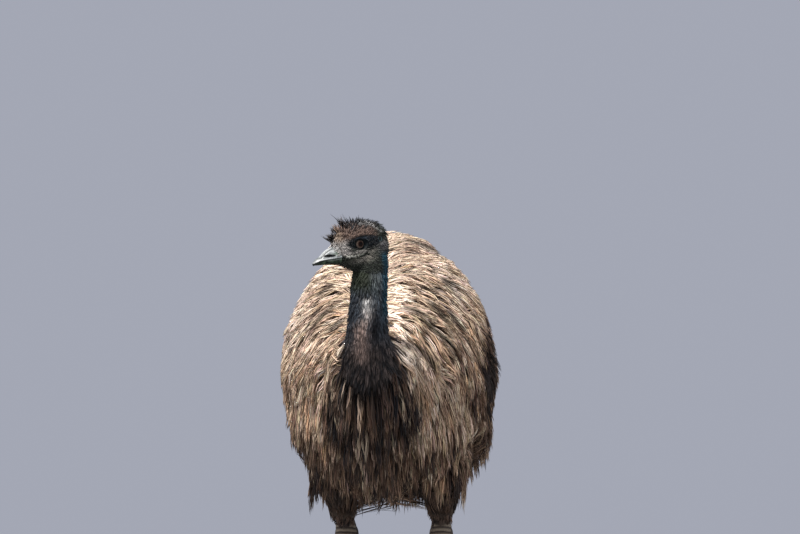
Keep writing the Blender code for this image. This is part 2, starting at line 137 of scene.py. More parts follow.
def ripple(points, scale, seed):
    """A smooth wandering value between about -1 and 1, with waves of the given size."""
    waves = np.random.default_rng(seed)
    total = np.zeros(len(points))
    for _ in range(5):
        direction = unit(waves.normal(size=3)) * waves.uniform(0.7, 1.5) * 2 * math.pi / scale
        total += np.sin(points @ direction + waves.uniform(0, 2 * math.pi))
    return total / 2.6


def head_axes():
    """Left, back and up of the head, as rows."""
    ahead = Vector((-math.sin(HEAD_TURN), -math.cos(HEAD_TURN), 0))
    left = Vector((0, 0, 1)).cross(ahead)
    ahead = ahead * math.cos(HEAD_DROOP) - Vector((0, 0, 1)) * math.sin(HEAD_DROOP)
    return np.array((left, -ahead, ahead.cross(left)))


HEAD_AXES = head_axes()


def in_head(points):
    """Places as left, back and up from the tip of the bill."""
    return (points - BILL_TIP) @ HEAD_AXES.T


def from_head(places):
    return np.asarray(places) @ HEAD_AXES + BILL_TIP


def new_mesh(name, points, triangles):
    mesh = bpy.data.meshes.new(name)
    mesh.vertices.add(len(points))
    mesh.vertices.foreach_set("co", np.ascontiguousarray(points, np.float32).ravel())
    mesh.loops.add(triangles.size)
    mesh.loops.foreach_set("vertex_index", np.ascontiguousarray(triangles, np.int32).ravel())
    mesh.polygons.add(len(triangles))
    starts = np.arange(0, triangles.size, triangles.shape[1], dtype=np.int32)
    mesh.polygons.foreach_set("loop_start", starts)
    mesh.update(calc_edges=True)
    mesh.shade_smooth()
    return mesh


def points_of(mesh):
    points = np.empty(len(mesh.vertices) * 3, np.float32)
    mesh.vertices.foreach_get("co", points)
    return points.reshape(-1, 3).astype(float)


def normals_of(mesh):
    normals = np.empty(len(mesh.vertices) * 3, np.float32)
    mesh.vertex_normals.foreach_get("vector", normals)
    return normals.reshape(-1, 3).astype(float)


def put_points(mesh, points):
    mesh.vertices.foreach_set("co", np.ascontiguousarray(points, np.float32).ravel())
    mesh.update()


def triangles_of(mesh):
    mesh.calc_loop_triangles()
    triangles = np.empty(len(mesh.loop_triangles) * 3, np.int32)
    mesh.loop_triangles.foreach_get("vertices", triangles)
    return triangles.reshape(-1, 3)


def show(name, mesh, material, nodes=()):
    """A finished piece: it rides on the bird, wears its material and stands for its solids."""
    obj = bpy.data.objects.new(name, mesh)
    bpy.context.scene.collection.objects.link(obj)
    mesh.materials.clear()
    mesh.materials.append(material)
    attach(obj, "root")
    if nodes:
        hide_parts(*nodes)
    return obj


def paint(mesh, name, values):
    """Stores a colour or a number at every point, for the materials to read."""
    if values.ndim == 1:
        mesh.attributes.new(name, "FLOAT", "POINT")
        mesh.attributes[name].data.foreach_set("value", values.astype(np.float32))
        return
    solid = np.ones((len(values), 4), np.float32)
    solid[:, :3] = values
    mesh.attributes.new(name, "FLOAT_COLOR", "POINT")
    mesh.attributes[name].data.foreach_set("color", solid.ravel())


def welded(node):
    """The points and triangles of a solid, with doubled points made one."""
    bm = bmesh.new()
    bm.from_mesh(NODES[node].data)
    bmesh.ops.remove_doubles(bm, verts=bm.verts, dist=1e-5)
    bmesh.ops.triangulate(bm, faces=bm.faces)
    points = np.array([vert.co for vert in bm.verts])
    triangles = np.array([[vert.index for vert in face.verts] for face in bm.faces])
    bm.free()
    return points, triangles


def rounded(node, cuts=3, fullness=0.75):
    """A solid's surface with its flat facets bulged to a smooth form, as loose triangles."""
    points, triangles = welded(node)
    mesh = new_mesh(node, points, triangles)
    mesh.set_sharp_from_angle(angle=FACET_CORNER)
    normals = np.empty(len(mesh.loops) * 3, np.float32)
    mesh.corner_normals.foreach_get("vector", normals)
    normals = normals.reshape(-1, 3, 3).astype(float)
    corners = points[triangles]
    bpy.data.meshes.remove(mesh)

    steps = [(i, j) for i in range(cuts + 1) for j in range(cuts + 1 - i)]
    index = {step: place for place, step in enumerate(steps)}
    weights = np.array([((cuts - i - j) / cuts, i / cuts, j / cuts) for i, j in steps])
    flat = np.einsum("sk,tkx->tsx", weights, corners)
    lifted = np.zeros_like(flat)
    for corner in range(3):
        out = normals[:, None, corner]
        onto = flat - dot(flat - corners[:, None, corner], out) * out
        lifted += weights[None, :, corner, None] * onto
    grown = np.einsum("sk,tkx->tsx", weights, normals) * SEAM_GROWTH
    result = flat + fullness * (lifted - flat) + grown

    faces = []
    for i, j in steps:
        if i + j < cuts:
            faces.append((index[i, j], index[i + 1, j], index[i, j + 1]))
        if i + j < cuts - 1:
            faces.append((index[i + 1, j], index[i + 1, j + 1], index[i, j + 1]))
    faces = np.array(faces)
    offsets = np.arange(len(result))[:, None, None] * len(steps)
    return result.reshape(-1, 3), (faces[None] + offsets).reshape(-1, 3)


def joined(pieces):
    """One set of points and faces out of several."""
    points, faces, start = [], [], 0
    for piece_points, piece_faces in pieces:
        points.append(piece_points)
        faces.append(piece_faces + start)
        start += len(piece_points)
    return np.concatenate(points), np.concatenate(faces)


def evaluated(obj):
    """The mesh that an object shows with its modifiers, after which the object is dropped."""
    graph = bpy.context.evaluated_depsgraph_get()
    mesh = bpy.data.meshes.new_from_object(obj.evaluated_get(graph))
    bpy.data.objects.remove(obj)
    return mesh


def remeshed(name, pieces, voxel):
    """Even quads over the outside of several overlapping surfaces, as one closed mesh."""
    obj = bpy.data.objects.new(name, new_mesh(name, *joined(pieces)))
    bpy.context.scene.collection.objects.link(obj)
    voxels = obj.modifiers.new("voxels", "REMESH")
    voxels.mode = "VOXEL"
    voxels.voxel_size = voxel
    return evaluated(obj)


def relax(mesh, rounds):
    """Evens out a surface. Each step in is followed by a step out, which keeps its size."""
    points = points_of(mesh)
    edges = np.empty(len(mesh.edges) * 2, np.int32)
    mesh.edges.foreach_get("vertices", edges)
    near, far = edges.reshape(-1, 2).T
    count = len(points)
    degree = np.bincount(near, minlength=count) + np.bincount(far, minlength=count)
    for _ in range(rounds):
        for step in (0.55, -0.56):
            for axis in range(3):
                line = points[:, axis]
                total = np.bincount(near, line[far], count) + np.bincount(far, line[near], count)
                points[:, axis] += step * (total / degree - line)
    put_points(mesh, points)


def meeting(a, b):
    """The centre of the ring where two solids meet."""
    points, _ = welded(b)
    tree = KDTree(len(points))
    for index, point in enumerate(points):
        tree.insert(point, index)
    tree.balance()
    own, _ = welded(a)
    ring = [point for point in own if tree.find(point)[2] < 0.0015]
    return np.mean(ring, axis=0)


def curve_through(points, steps):
    """A smooth line through points, with the given number of steps between each two."""
    points = [2 * points[0] - points[1], *points, 2 * points[-1] - points[-2]]
    line = []
    for a, b, c, d in zip(points, points[1:], points[2:], points[3:]):
        for step in range(steps):
            t = step / steps
            line.append(
                0.5 * ((2 * b) + (c - a) * t + (2 * a - 5 * b + 4 * c - d) * t**2
                       + (3 * b - a - 3 * c + d) * t**3)
            )
    line.append(points[-2])
    return np.array(line)


class NeckLine:
    """The line up the middle of the neck, from the trunk to the head."""

    STEPS = 12

    def __init__(self):
        chain = ["trunk", "breast", *NECK_NODES, "head"]
        centres = [meeting(a, b) for a, b in zip(chain, chain[1:])]
        self.line = curve_through(centres, self.STEPS)
        self.ahead = unit(np.gradient(self.line, axis=0))

    def place(self, points):
        """How far up each point lies, counted in meetings of solids, and the way up there."""
        gaps = np.linalg.norm(points[:, None] - self.line[None], axis=2)
        index = gaps.argmin(axis=1)
        return index / self.STEPS, self.ahead[index]

    def draw_in(self, mesh, start, end):
        """Narrows a form towards this line, so that its end hides inside another one."""
        points = points_of(mesh)
        gaps = np.linalg.norm(points[:, None] - self.line[None], axis=2)
        index = gaps.argmin(axis=1)
        share = smooth(start, end, index / self.STEPS) * END_SHARE
        put_points(mesh, mix(points, self.line[index], share))


END_SHARE = 0.45
NECK = NeckLine()


def body_depth(points):
    """How deep the skin lies under the body solids at each point."""
    up_neck, _ = NECK.place(points)
    x, _, z = points.T
    body = BODY_COAT - 0.008 * smooth(0.99, 1.03, z) * smooth(0.080, 0.050, np.abs(x - 0.02))
    body = body + 0.003 * bump(0.085, 0.022, x) * smooth(0.98, 1.02, z)
    neck = body + (NECK_COAT - body) * smooth(0.2, 2.0, up_neck)
    thigh = smooth(0.60, 0.53, z)
    return neck * (1 - thigh) + THIGH_COAT * thigh


def head_depth(points):
    _, back, up = in_head(points).T
    crown = smooth(0.046, 0.072, up) * smooth(0.050, 0.075, back)
    on_head = smooth(0.965, 0.985, points[:, 2])
    head = FACE_COAT + (CROWN_COAT - FACE_COAT) * crown
    return NECK_COAT * (1 - on_head) + head * on_head


def sink(mesh, depth):
    points = points_of(mesh)
    put_points(mesh, points - normals_of(mesh) * depth(points)[:, None])


def below(pieces, height):
    """The part of some closed surfaces that lies under a height, closed again on top."""
    bm = bmesh.new()
    points, faces = joined(pieces)
    mesh = new_mesh("below", points, faces)
    bm.from_mesh(mesh)
    bpy.data.meshes.remove(mesh)
    bmesh.ops.remove_doubles(bm, verts=bm.verts, dist=1e-6)
    everything = [*bm.verts, *bm.edges, *bm.faces]
    cut = bmesh.ops.bisect_plane(
        bm, geom=everything, plane_co=(0, 0, height), plane_no=(0, 0, 1), clear_outer=True
    )
    rim = [item for item in cut["geom_cut"] if isinstance(item, bmesh.types.BMEdge)]
    bmesh.ops.edgeloop_fill(bm, edges=rim)
    bmesh.ops.triangulate(bm, faces=bm.faces)
    result = np.array([vert.co for vert in bm.verts])
    bm.verts.index_update()
    faces = np.array([[vert.index for vert in face.verts] for face in bm.faces])
    bm.free()
    return result, faces


def body_form():
    nodes = BODY_NODES + THIGH_NODES + NECK_NODES[:2]
    mesh = remeshed("body_form", [rounded(node, 2) for node in nodes], BODY_VOXEL)
    relax(mesh, 6)
    sink(mesh, body_depth)
    relax(mesh, 2)
    NECK.draw_in(mesh, 2.50, 2.85)
    return mesh


def head_relief(points):
    """How far the skin of the head stands out at each point: brow, hollows, gape and cheek."""
    left, back, up = in_head(points).T
    side = smooth(0.010, 0.018, np.abs(left)) * smooth(0.968, 0.976, points[:, 2])
    over = up - gape_height(back)
    brow = bump(0.0410, 0.0050, up) * smooth(0.076, 0.090, back) * smooth(0.142, 0.122, back)
    hollow = bump(0.084, 0.009, back) * bump(0.021, 0.008, up)
    gape = bump(0, 0.0018, over) * smooth(0.124, 0.114, back)
    cheek = bump(0.136, 0.020, back) * bump(-0.006, 0.012, up)
    return side * (0.0024 * brow - 0.0016 * hollow - 0.0012 * gape + 0.0014 * cheek)


def head_form():
    nodes = NECK_NODES[1:] + ["head"]
    mesh = remeshed("head_form", [rounded(node, 3) for node in nodes], HEAD_VOXEL)
    relax(mesh, 8)
    sink(mesh, head_depth)
    points = points_of(mesh)
    put_points(mesh, points + normals_of(mesh) * head_relief(points)[:, None])
    NECK.draw_in(mesh, 2.55, 2.20)
    return mesh


def leg_form(side):
    """One bare leg, with a plug of thigh that runs up inside the feathers."""
    _, shank_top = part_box(f"shank_{side}")
    thigh = below([rounded(f"thigh_{side}", 1)], shank_top.z + 0.045)
    pieces = [rounded(f"{node}_{side}", 3) for node in LEG_NODES]
    mesh = remeshed(f"leg_form_{side}", [thigh, *pieces], LEG_VOXEL)
    relax(mesh, 3)

    def depth(points):
        return smooth(shank_top.z - 0.012, shank_top.z + 0.006, points[:, 2]) * 0.008

    sink(mesh, depth)
    points = points_of(mesh)
    rise, cover = leg_relief(points, side)
    points = points + normals_of(mesh) * (PLATE_RISE * (rise - 0.4) * cover)[:, None]
    points[:, 2] = np.maximum(points[:, 2], 0)
    put_points(mesh, points)
    return mesh


def united(meshes):
    """One closed skin out of overlapping ones."""
    objects = []
    for mesh in meshes:
        obj = bpy.data.objects.new(mesh.name, mesh)
        bpy.context.scene.collection.objects.link(obj)
        objects.append(obj)
    for other in objects[1:]:
        union = objects[0].modifiers.new("union", "BOOLEAN")
        union.operation = "UNION"
        union.solver = "MANIFOLD"
        union.object = other
    mesh = evaluated(objects[0])
    for other in objects[1:]:
        bpy.data.objects.remove(other)
    return mesh


class Surface:
    """A skin that can be asked for its nearest point and the way out of it."""

    def __init__(self, mesh):
        self.points = points_of(mesh)
        self.triangles = triangles_of(mesh)
        self.tree = BVHTree.FromPolygons(self.points.tolist(), self.triangles.tolist())

    def nearest(self, points):
        places, normals = [], []
        for point in points.tolist():
            place, normal, _, _ = self.tree.find_nearest(point)
            places.append(place)
            normals.append(normal)
        return np.array(places), np.array(normals)

    def scatter(self, spacing, keep, rng):
        """Places over the skin, each at least its own spacing from the rest."""
        corners = self.points[self.triangles]
        cross = np.cross(corners[:, 1] - corners[:, 0], corners[:, 2] - corners[:, 0])
        area = np.linalg.norm(cross, axis=1) / 2
        middle = corners.mean(axis=1)
        gap = spacing(middle)
        weight = area * keep(middle) / gap**2
        count = int(weight.sum() * 3.2)
        chosen = rng.choice(len(area), count, p=weight / weight.sum())
        shares = rng.dirichlet((1, 1, 1), count)
        places = np.einsum("nk,nkx->nx", shares, corners[chosen])
        tree = KDTree(count)
        for index, place in enumerate(places):
            tree.insert(place, index)
        tree.balance()
        kept = np.ones(count, bool)
        for index, (place, near) in enumerate(zip(places, gap[chosen])):
            if kept[index]:
                for _, other, _ in tree.find_range(place, near):
                    if other > index:
                        kept[other] = False
        return places[kept]


# The plumage parts along the spine, runs out over the shoulders and down the flanks round a
# line at this height, and turns back towards the tail.
PARTING_WIDTH, PARTING_BEND, RIDGE_WIDTH = 0.020, 0.035, 0.022
# Low on the breast it fans out from the root of the neck.
FAN_HEIGHT, FAN_DROOP = 0.768, 0.95
LIE_CENTRE = 0.740


# How far, in radians, the sideways swing of a lock moves on along its length.
SWING = 7.0


def random_bends(rng, count, steady, swinging):
    """Bends for trace: the angles are in radians, as standard deviations."""
    phase = rng.uniform(0, 2 * math.pi, count)
    return np.stack((rng.normal(0, steady, count), rng.normal(0, swinging, count), phase))


def tangent(vectors, normals):
    return vectors - dot(vectors, normals) * normals


def from_parting(points):
    """How far to the left of the parting each point lies. In front it runs behind the neck."""
    x, y, _ = points.T
    return x + (PARTING_BEND + BREAST_TURN * y) * smooth(0.35, 0.12, y)


def body_flow(points, normals):
    """The lie of the plumage of the body."""
    x, y, z = points.T
    off = from_parting(points)
    side = off / np.sqrt(off**2 + PARTING_WIDTH**2)
    rise = np.maximum(z - LIE_CENTRE, -0.05)
    reach = np.sqrt(rise**2 + x**2) + 1e-6
    flow = np.stack((side * rise / reach, np.zeros_like(x), -np.abs(x) / reach), 1)
    flow[:, 1] += 0.12 + 0.75 * smooth(-0.26, 0.05, y)
    flow[:, 2] -= 0.15 + 0.55 * smooth(0.20, 0.50, y)
    beside = bump(0.046, 0.024, np.abs(across_breast(points) - COLLAR_CENTRE))
    flow[:, 2] += 0.55 * beside * smooth(0.80, 0.86, z) * smooth(0.02, -0.06, y)
    fan = np.stack((x, 0.05 - 0 * x, z - FAN_HEIGHT - FAN_DROOP * np.abs(x)), 1)
    flow = mix(unit(flow), unit(fan), smooth(-0.12, -0.24, y) * smooth(0.83, 0.76, z))
    ridge = np.stack((0.35 * side, np.ones_like(x), np.zeros_like(x)), 1)
    level = bump(0, RIDGE_WIDTH, off) * smooth(0.80, 0.88, z) * 0.90
    flow = mix(unit(flow), ridge, level)
    sway = ripple(points, 0.13, 3) * 0.30 + ripple(points, 0.05, 4) * 0.26
    flow = unit(flow) + np.cross(normals, unit(flow)) * sway[:, None]
    return unit(tangent(flow, normals))


def neck_flow(points, normals):
    """The short feathers of the neck lie down it."""
    _, ahead = NECK.place(points)
    sway = ripple(points, 0.05, 5) * 0.22
    flow = -ahead + np.cross(normals, ahead) * sway[:, None]
    flow[:, 2] -= 0.35
    return unit(tangent(flow, normals))


def thigh_flow(points, normals):
    flow = np.tile((0.0, 0.42, -1.0), (len(points), 1))
    sway = ripple(points, 0.08, 6) * 0.22
    flow += np.cross(normals, flow) * sway[:, None]
    return unit(tangent(flow, normals))


def trace(surface, roots, flow, lengths, steps, loosen, hang, bends=None):
    """Lines over a skin from their roots along a flow, and the ways out of it beside them.

    Where loosen is 1 a line leaves the skin and hangs along its own heading. The bends turn each
    line off the flow: by a steady angle, and by one that swings along the line from a phase."""
    point = roots
    lines, outs = [], []
    heading = None
    stride = (lengths / (steps - 1))[:, None]
    bends = np.zeros((3, len(roots))) if bends is None else bends
    for step in range(steps):
        near, normal = surface.nearest(point)
        wanted = flow(near, normal)
        turn = bends[0] + bends[1] * np.sin(bends[2] + SWING * step / (steps - 1))
        wanted = unit(wanted + np.cross(normal, wanted) * turn[:, None])
        loose = loosen(near, normal)[:, None]
        point = near * (1 - loose) + point * loose
        wanted = unit(wanted * (1 - loose) + hang * loose)
        heading = wanted if heading is None else unit(heading * 0.4 + wanted * 0.6)
        lines.append(point)
        outs.append(normal)
        point = point + heading * stride
    return np.stack(lines, 1), np.stack(outs, 1)


# How the strands of a lock are laid out. Lengths are in metres and the rest are shares.
Style = namedtuple(
    "Style", "strands spread width thickness depth lift clump stagger wave rings profile shade"
)
BODY_STYLE = Style(
    strands=8, spread=0.0085, width=0.0029, thickness=0.42, depth=0.0165, lift=0.35,
    clump=0.60, stagger=0.32, wave=0.0020,
    rings=(0, 0.20, 0.42, 0.64, 0.84, 1), profile=(0.55, 0.9, 1, 0.9, 0.65, 0),
    shade=(0.30, 0.55, 0.88, 1.02, 1.02, 0.90),
)
THIGH_STYLE = BODY_STYLE._replace(
    strands=5, spread=0.0075, width=0.0030, depth=THIGH_COAT, wave=0.0010
)
NECK_STYLE = Style(
    strands=4, spread=0.0032, width=0.0014, thickness=0.40, depth=NECK_COAT, lift=0.45,
    clump=0.55, stagger=0.25, wave=0.0006,
    rings=(0, 0.33, 0.68, 1), profile=(0.7, 1, 0.7, 0),
    shade=(0.55, 0.9, 1.05, 0.9),
)
HEAD_STYLE = NECK_STYLE._replace(
    strands=3, spread=0.0013, width=0.0011, depth=FACE_COAT, lift=0.5, wave=0.0004,
    rings=(0, 0.5, 1), profile=(0.8, 0.8, 0), shade=(0.5, 1.0, 1.0),
)


def chances(rng, owner, kinds):
    """Random numbers for each strand, most of which it shares with its lock."""
    shared = rng.normal(0, 0.8, (kinds, owner.max() + 1))[:, owner]
    return shared + rng.normal(0, 0.6, (kinds, len(owner)))


def interpolated(lines, owner, place):
    """Points at places from 0 to 1 along some of the lines."""
    exact = np.clip(place, 0, 1) * (lines.shape[1] - 1)
    low = np.minimum(exact.astype(int), lines.shape[1] - 2)
    part = (exact - low)[..., None]
    rows = owner[:, None]
    return lines[rows, low] * (1 - part) + lines[rows, low + 1] * part


def strands(lines, outs, style, rng, depth=None, girth=None):
    """The points of every strand of some locks, and the lock that each strand belongs to."""
    count = len(lines)
    owner = np.repeat(np.arange(count), style.strands)
    total = len(owner)
    depth = np.full(count, style.depth) if depth is None else depth
    girth = np.ones(count) if girth is None else girth
    ring = np.array(style.rings)[None]
    start = rng.uniform(0, style.stagger, total)[:, None]
    end = 1 - rng.uniform(0, style.stagger, total)[:, None]
    place = start + (end - start) * ring
    centre = interpolated(lines, owner, place)
    out = unit(interpolated(outs, owner, place))
    ahead = unit(np.gradient(centre, axis=1))
    side = unit(np.cross(ahead, out))
    out = np.cross(side, ahead)

    layer = rng.uniform(0, 0.50, count)[owner] + rng.uniform(0, 0.22, total)
    rise = 1 - (1 - ring) ** 1.7
    height = rise * (0.45 + layer)[:, None] + style.lift * ring**3 * layer[:, None]
    height = height * depth[owner][:, None] - 0.0004
    across = (rng.uniform(-1, 1, total) * style.spread * girth[owner])[:, None]
    gather = 1 - style.clump * place**1.4
    phase = rng.uniform(0, 2 * math.pi, (total, 2))
    wave = np.sin(2 * math.pi * 1.1 * ring + phase[:, :1]) * style.wave * (0.3 + ring)
    centre = centre + side * (across * gather + wave)[..., None] + out * height[..., None]

    turn = rng.normal(0, 0.45, total)[:, None, None]
    flat = side * np.cos(turn) + out * np.sin(turn)
    ridge = out * np.cos(turn) - side * np.sin(turn)
    width = (style.width * girth[owner] * rng.uniform(0.7, 1.3, total))[:, None]
    width = width * np.array(style.profile)[None]
    half = (flat * width[..., None] / 2)[:, :-1]
    rib = (ridge * width[..., None] * style.thickness)[:, :-1]
    base = centre[:, :-1]
    rings = np.stack((base - half - rib / 3, base + half - rib / 3, base + rib), 2)
    points = np.concatenate((rings.reshape(total, -1, 3), centre[:, -1:]), 1)
    return points, owner


def strand_faces(rings):
    """The triangles of one strand: three sides between rings, a cap and a pointed tip."""
    faces = [(0, 1, 2)]
    for ring in range(rings - 2):
        for corner in range(3):
            a, b = 3 * ring + corner, 3 * ring + (corner + 1) % 3
            faces += [(a, a + 3, b), (b, a + 3, b + 3)]
    last, tip = 3 * (rings - 2), 3 * (rings - 1)
    faces += [(last + corner, tip, last + (corner + 1) % 3) for corner in range(3)]
    return np.array(faces)


def strand_rings(rings):
    """The ring that each point of a strand belongs to."""
    return np.append(np.repeat(np.arange(rings - 1), 3), rings - 1)


PATCH = 0.003


def unwrap(roots, centre, axis, top):
    """Places on a flat map of a round body: turns about its axis, and the way along it."""
    axis, top = unit(np.array(axis)), unit(np.array(top))
    side = np.cross(axis, top)
    offset = roots - centre
    turn = np.arctan2(offset @ side, offset @ top) / (2 * math.pi) + 0.5
    return np.stack((turn, offset @ axis), 1)


def fitted(places):
    """Map places spread over the middle of the square."""
    low, high = places.min(axis=0), places.max(axis=0)
    return 0.01 + 0.98 * (places - low) / np.maximum(high - low, 1e-6)


def coat_piece(name, points, colours, places, style, material, tones=1.0):
    """One joined mesh of strands, each with its colours and its patch of the map."""
    total, size, _ = points.shape
    rings = len(style.rings)
    faces = strand_faces(rings)
    offsets = np.arange(total)[:, None, None] * size
    triangles = (faces[None] + offsets).reshape(-1, 3)
    mesh = new_mesh(name, points.reshape(-1, 3), triangles)
    ring = strand_rings(rings)
    # The strands darken towards their roots: partly the darker bases of the feathers, partly painted shade
    # deep in the coat.
    shade = np.array(style.shade)[ring][None, :, None]
    paint(mesh, "tint", (colours[:, None] * shade * tones).reshape(-1, 3))
    corner = np.append(np.tile((0.0, 1.0, 0.5), rings - 1), 0.5)
    along = ring / (rings - 1)
    patch = (np.stack((corner, along), 1) - 0.5) * PATCH
    spots = (fitted(places)[:, None] + patch[None]).reshape(-1, 2)
    layer = mesh.uv_layers.new(name="OFBake")
    layer.uv.foreach_set("vector", spots[triangles.ravel()].astype(np.float32).ravel())
    return show(name, mesh, material)


# Where no chances are given, as for the skin, every strand would be an average one.
NO_CHANCE = (0.0, 0.0, 0.0)
# The breast and the neck carry their markings across a line turned a little from the body's own.
BREAST_TURN = 0.105
# The fan of dark plumes that spreads from the root of the neck over the breast.
COLLAR_TOP, COLLAR_BEND, COLLAR_CENTRE = 0.828, 0.784, -0.037
COLLAR_HALF_WIDTH, COLLAR_SPREAD, COLLAR_FLARE, COLLAR_UNEVEN = 0.045, 0.20, 0.24, 0.012
# The shaded gaps between the big overlapping locks, as lines seen from the front: the place
# across and the height of both ends, and how far the middle bows up.
GAPS = [
    (0.038, 0.820, 0.112, 0.762, 0.011), (0.046, 0.812, 0.108, 0.757, 0.010),
    (0.090, 0.912, 0.142, 0.858, 0.004), (0.100, 0.898, 0.140, 0.856, 0.003),
    (0.036, 0.893, 0.078, 0.880, 0.006), (0.045, 1.046, 0.122, 1.016, 0.003),
    (-0.104, 0.900, -0.163, 0.836, 0.010), (-0.118, 0.945, -0.148, 0.918, 0.003),
    (-0.090, 0.866, -0.122, 0.838, 0.005), (0.120, 0.960, 0.150, 0.934, 0.003),
    (0.075, 0.872, 0.135, 0.815, 0.006), (0.130, 0.895, 0.172, 0.835, 0.004),
    (0.110, 0.845, 0.160, 0.785, 0.005),
]
GAP_WIDTH, GAP_SHADE = 0.0060, 0.78
# How much painted light brightens the creamy down beyond the other pale plumes, and the share of cream in
# its clump.
DOWN_PAINTED_LIGHT, CLUMP_CREAM = 0.35, 0.9
# How far the dark feathers of the neck keep clear of the clump.
CLUMP_CLEAR = 0.024


def across_breast(points):
    return points[:, 0] + BREAST_TURN * points[:, 1]


def collar_edge(points):
    """How far inside the edge of the dark plumes each point lies, seen from the front."""
    z = points[:, 2]
    off = across_breast(points) - COLLAR_CENTRE
    spread = COLLAR_SPREAD * np.clip(COLLAR_TOP - z, 0, 1) + COLLAR_FLARE * np.clip(COLLAR_BEND - z, 0, 1)
    half = COLLAR_HALF_WIDTH + spread - (off < 0) * COLLAR_UNEVEN * smooth(0.88, 0.84, z)
    return half - np.abs(off) + ripple(points, 0.06, 21) * 0.006


def neck_side(points):
    """0 to the right of the root of the neck, where the pale plumage reaches up to it."""
    off = across_breast(points) - COLLAR_CENTRE
    return np.maximum(smooth(-0.050, -0.043, off), smooth(0.89, 0.91, points[:, 2]))


def collar(points):
    """1 where the plumage of the breast is black below the neck."""
    _, y, z = points.T
    edge = smooth(-0.008, 0.008, collar_edge(points))
    return edge * smooth(-0.26, -0.31, y) * smooth(0.835, 0.815, z)


def gaps(points):
    """1 in the shaded gaps of the breast and shoulders."""
    across, z = across_breast(points), points[:, 2]
    depth = np.zeros(len(points))
    for start_across, start_z, end_across, end_z, bow in GAPS:
        way = np.array((end_across - start_across, end_z - start_z))
        length = np.linalg.norm(way)
        way = way / length
        along = ((across - start_across) * way[0] + (z - start_z) * way[1]) / length
        up = -(across - start_across) * abs(way[1]) * np.sign(-way[0]) + (z - start_z) * abs(way[0])
        off = up - 4 * bow * along * (1 - along)
        inside = smooth(-0.15, 0.15, along) * smooth(1.15, 0.85, along)
        depth = np.maximum(depth, inside * bump(0, GAP_WIDTH, off))
    return depth * smooth(0.30, 0.15, points[:, 1])


def darkness(points):
    """From 0 on the pale shoulders to 1 on the darkest flanks and belly. Down the left flank and its edge,
    which turn from the light, it is partly darker plumage and partly painted shade.
    """
    x, y, z = points.T
    across = across_breast(points)
    # Painted shade, with darker plumage, down the left flank and its edge, which turn from the light.
    left_flank_and_shade = smooth(0.86, 0.74, z) * 0.36 * smooth(0.13, 0.20, x)
    left_edge_and_shade = smooth(0.196, 0.214, across + 0.004 * ripple(points, 0.05, 25))
    left_edge_and_shade = left_edge_and_shade * smooth(0.91, 0.85, z) * smooth(0.60, 0.70, z)
    left_flank_and_shade += 0.85 * left_edge_and_shade * smooth(0.26, 0.06, y)
    right_flank = smooth(0.74, 0.60, z) * smooth(0.10, 0.20, -x) * 0.45
    belly = smooth(0.68, 0.56, z) * 0.6
    tail = smooth(0.34, 0.54, y) * 0.40
    patches = 0.24 * ripple(points, 0.11, 22) + 0.14 * ripple(points, 0.045, 23)
    patches -= 0.18 * smooth(0.85, 0.92, z)
    return np.clip(np.maximum.reduce((left_flank_and_shade, right_flank, belly, tail)) + patches, 0, 1)


def clump(points):
    """1 in the clump of creamy down beside the root of the neck, which arches over to the left."""
    _, y, z = points.T
    across = across_breast(points)
    arch = z + 10.0 * np.clip(across - 0.040, 0, 1) ** 2
    ends = smooth(0.012, 0.022, across) * smooth(0.100, 0.045, across)
    return bump(0.784, 0.015, arch) * ends * smooth(-0.2, -0.3, y)


def down(points):
    """1 in the creamy down beside the neck and in the clump of it below."""
    _, y, z = points.T
    band = bump(0.024 + 0.07 * (z - 0.806), 0.017, across_breast(points)) * smooth(0.775, 0.80, z)
    band = band * smooth(0.965, 0.925, z)
    return np.maximum(band * smooth(-0.05, -0.15, y), clump(points))


def paleness(points):
    """1 in the creamy down, and about half on the upper breast and out over both shoulders."""
    _, y, z = points.T
    across = across_breast(points)
    left = bump(0.146, 0.040, across) * bump(0.925, 0.045, z)
    right = bump(-0.190, 0.065, across) * bump(0.860, 0.100, z)
    shoulders = (0.85 * left + 0.80 * right) * smooth(0.35, 0.10, y)
    return np.maximum.reduce((down(points), 0.58 * smooth(0.84, 0.96, z), shoulders))


def body_colour(points, chance=NO_CHANCE):
    """The colour of the plumage of the body."""
    pale = paleness(points)
    tone = np.clip(0.40 + 0.26 * ripple(points, 0.07, 24) + 0.30 * chance[0] + 0.25 * pale, 0, 1.2)
    colour = mix(TAN, STRAW, smooth(0, 0.80, tone))
    colour = mix(colour, CREAM, smooth(0.70, 1.2, tone) * 0.7)
    rust = smooth(0.1, 1.2, 0.7 * ripple(points, 0.05, 26) + 0.5 * chance[1])
    colour = mix(colour, RUST, rust * 0.45)
    colour = mix(colour, CREAM, np.clip(1.5 * pale - 0.6 + 0.2 * chance[1], 0, 1) * 0.8)
    dark = np.clip(darkness(points) * 1.1 + 0.20 * chance[2] - 0.10, 0, 1) * (1 - 0.8 * pale)
    colour = mix(colour, UMBER, smooth(0.10, 0.55, dark))
    colour = mix(colour, SOOT, smooth(0.45, 0.95, dark))
    black = np.clip(collar(points) + 0.12 * chance[1], 0, 1)
    plume = mix(JET, UMBER, np.clip(0.34 + 0.30 * chance[0], 0, 1))
    plume = mix(plume, STRAW * 0.8, smooth(0.8, 1.6, chance[2]) * 0.7)
    return mix(colour, plume, smooth(0.25, 0.75, black))


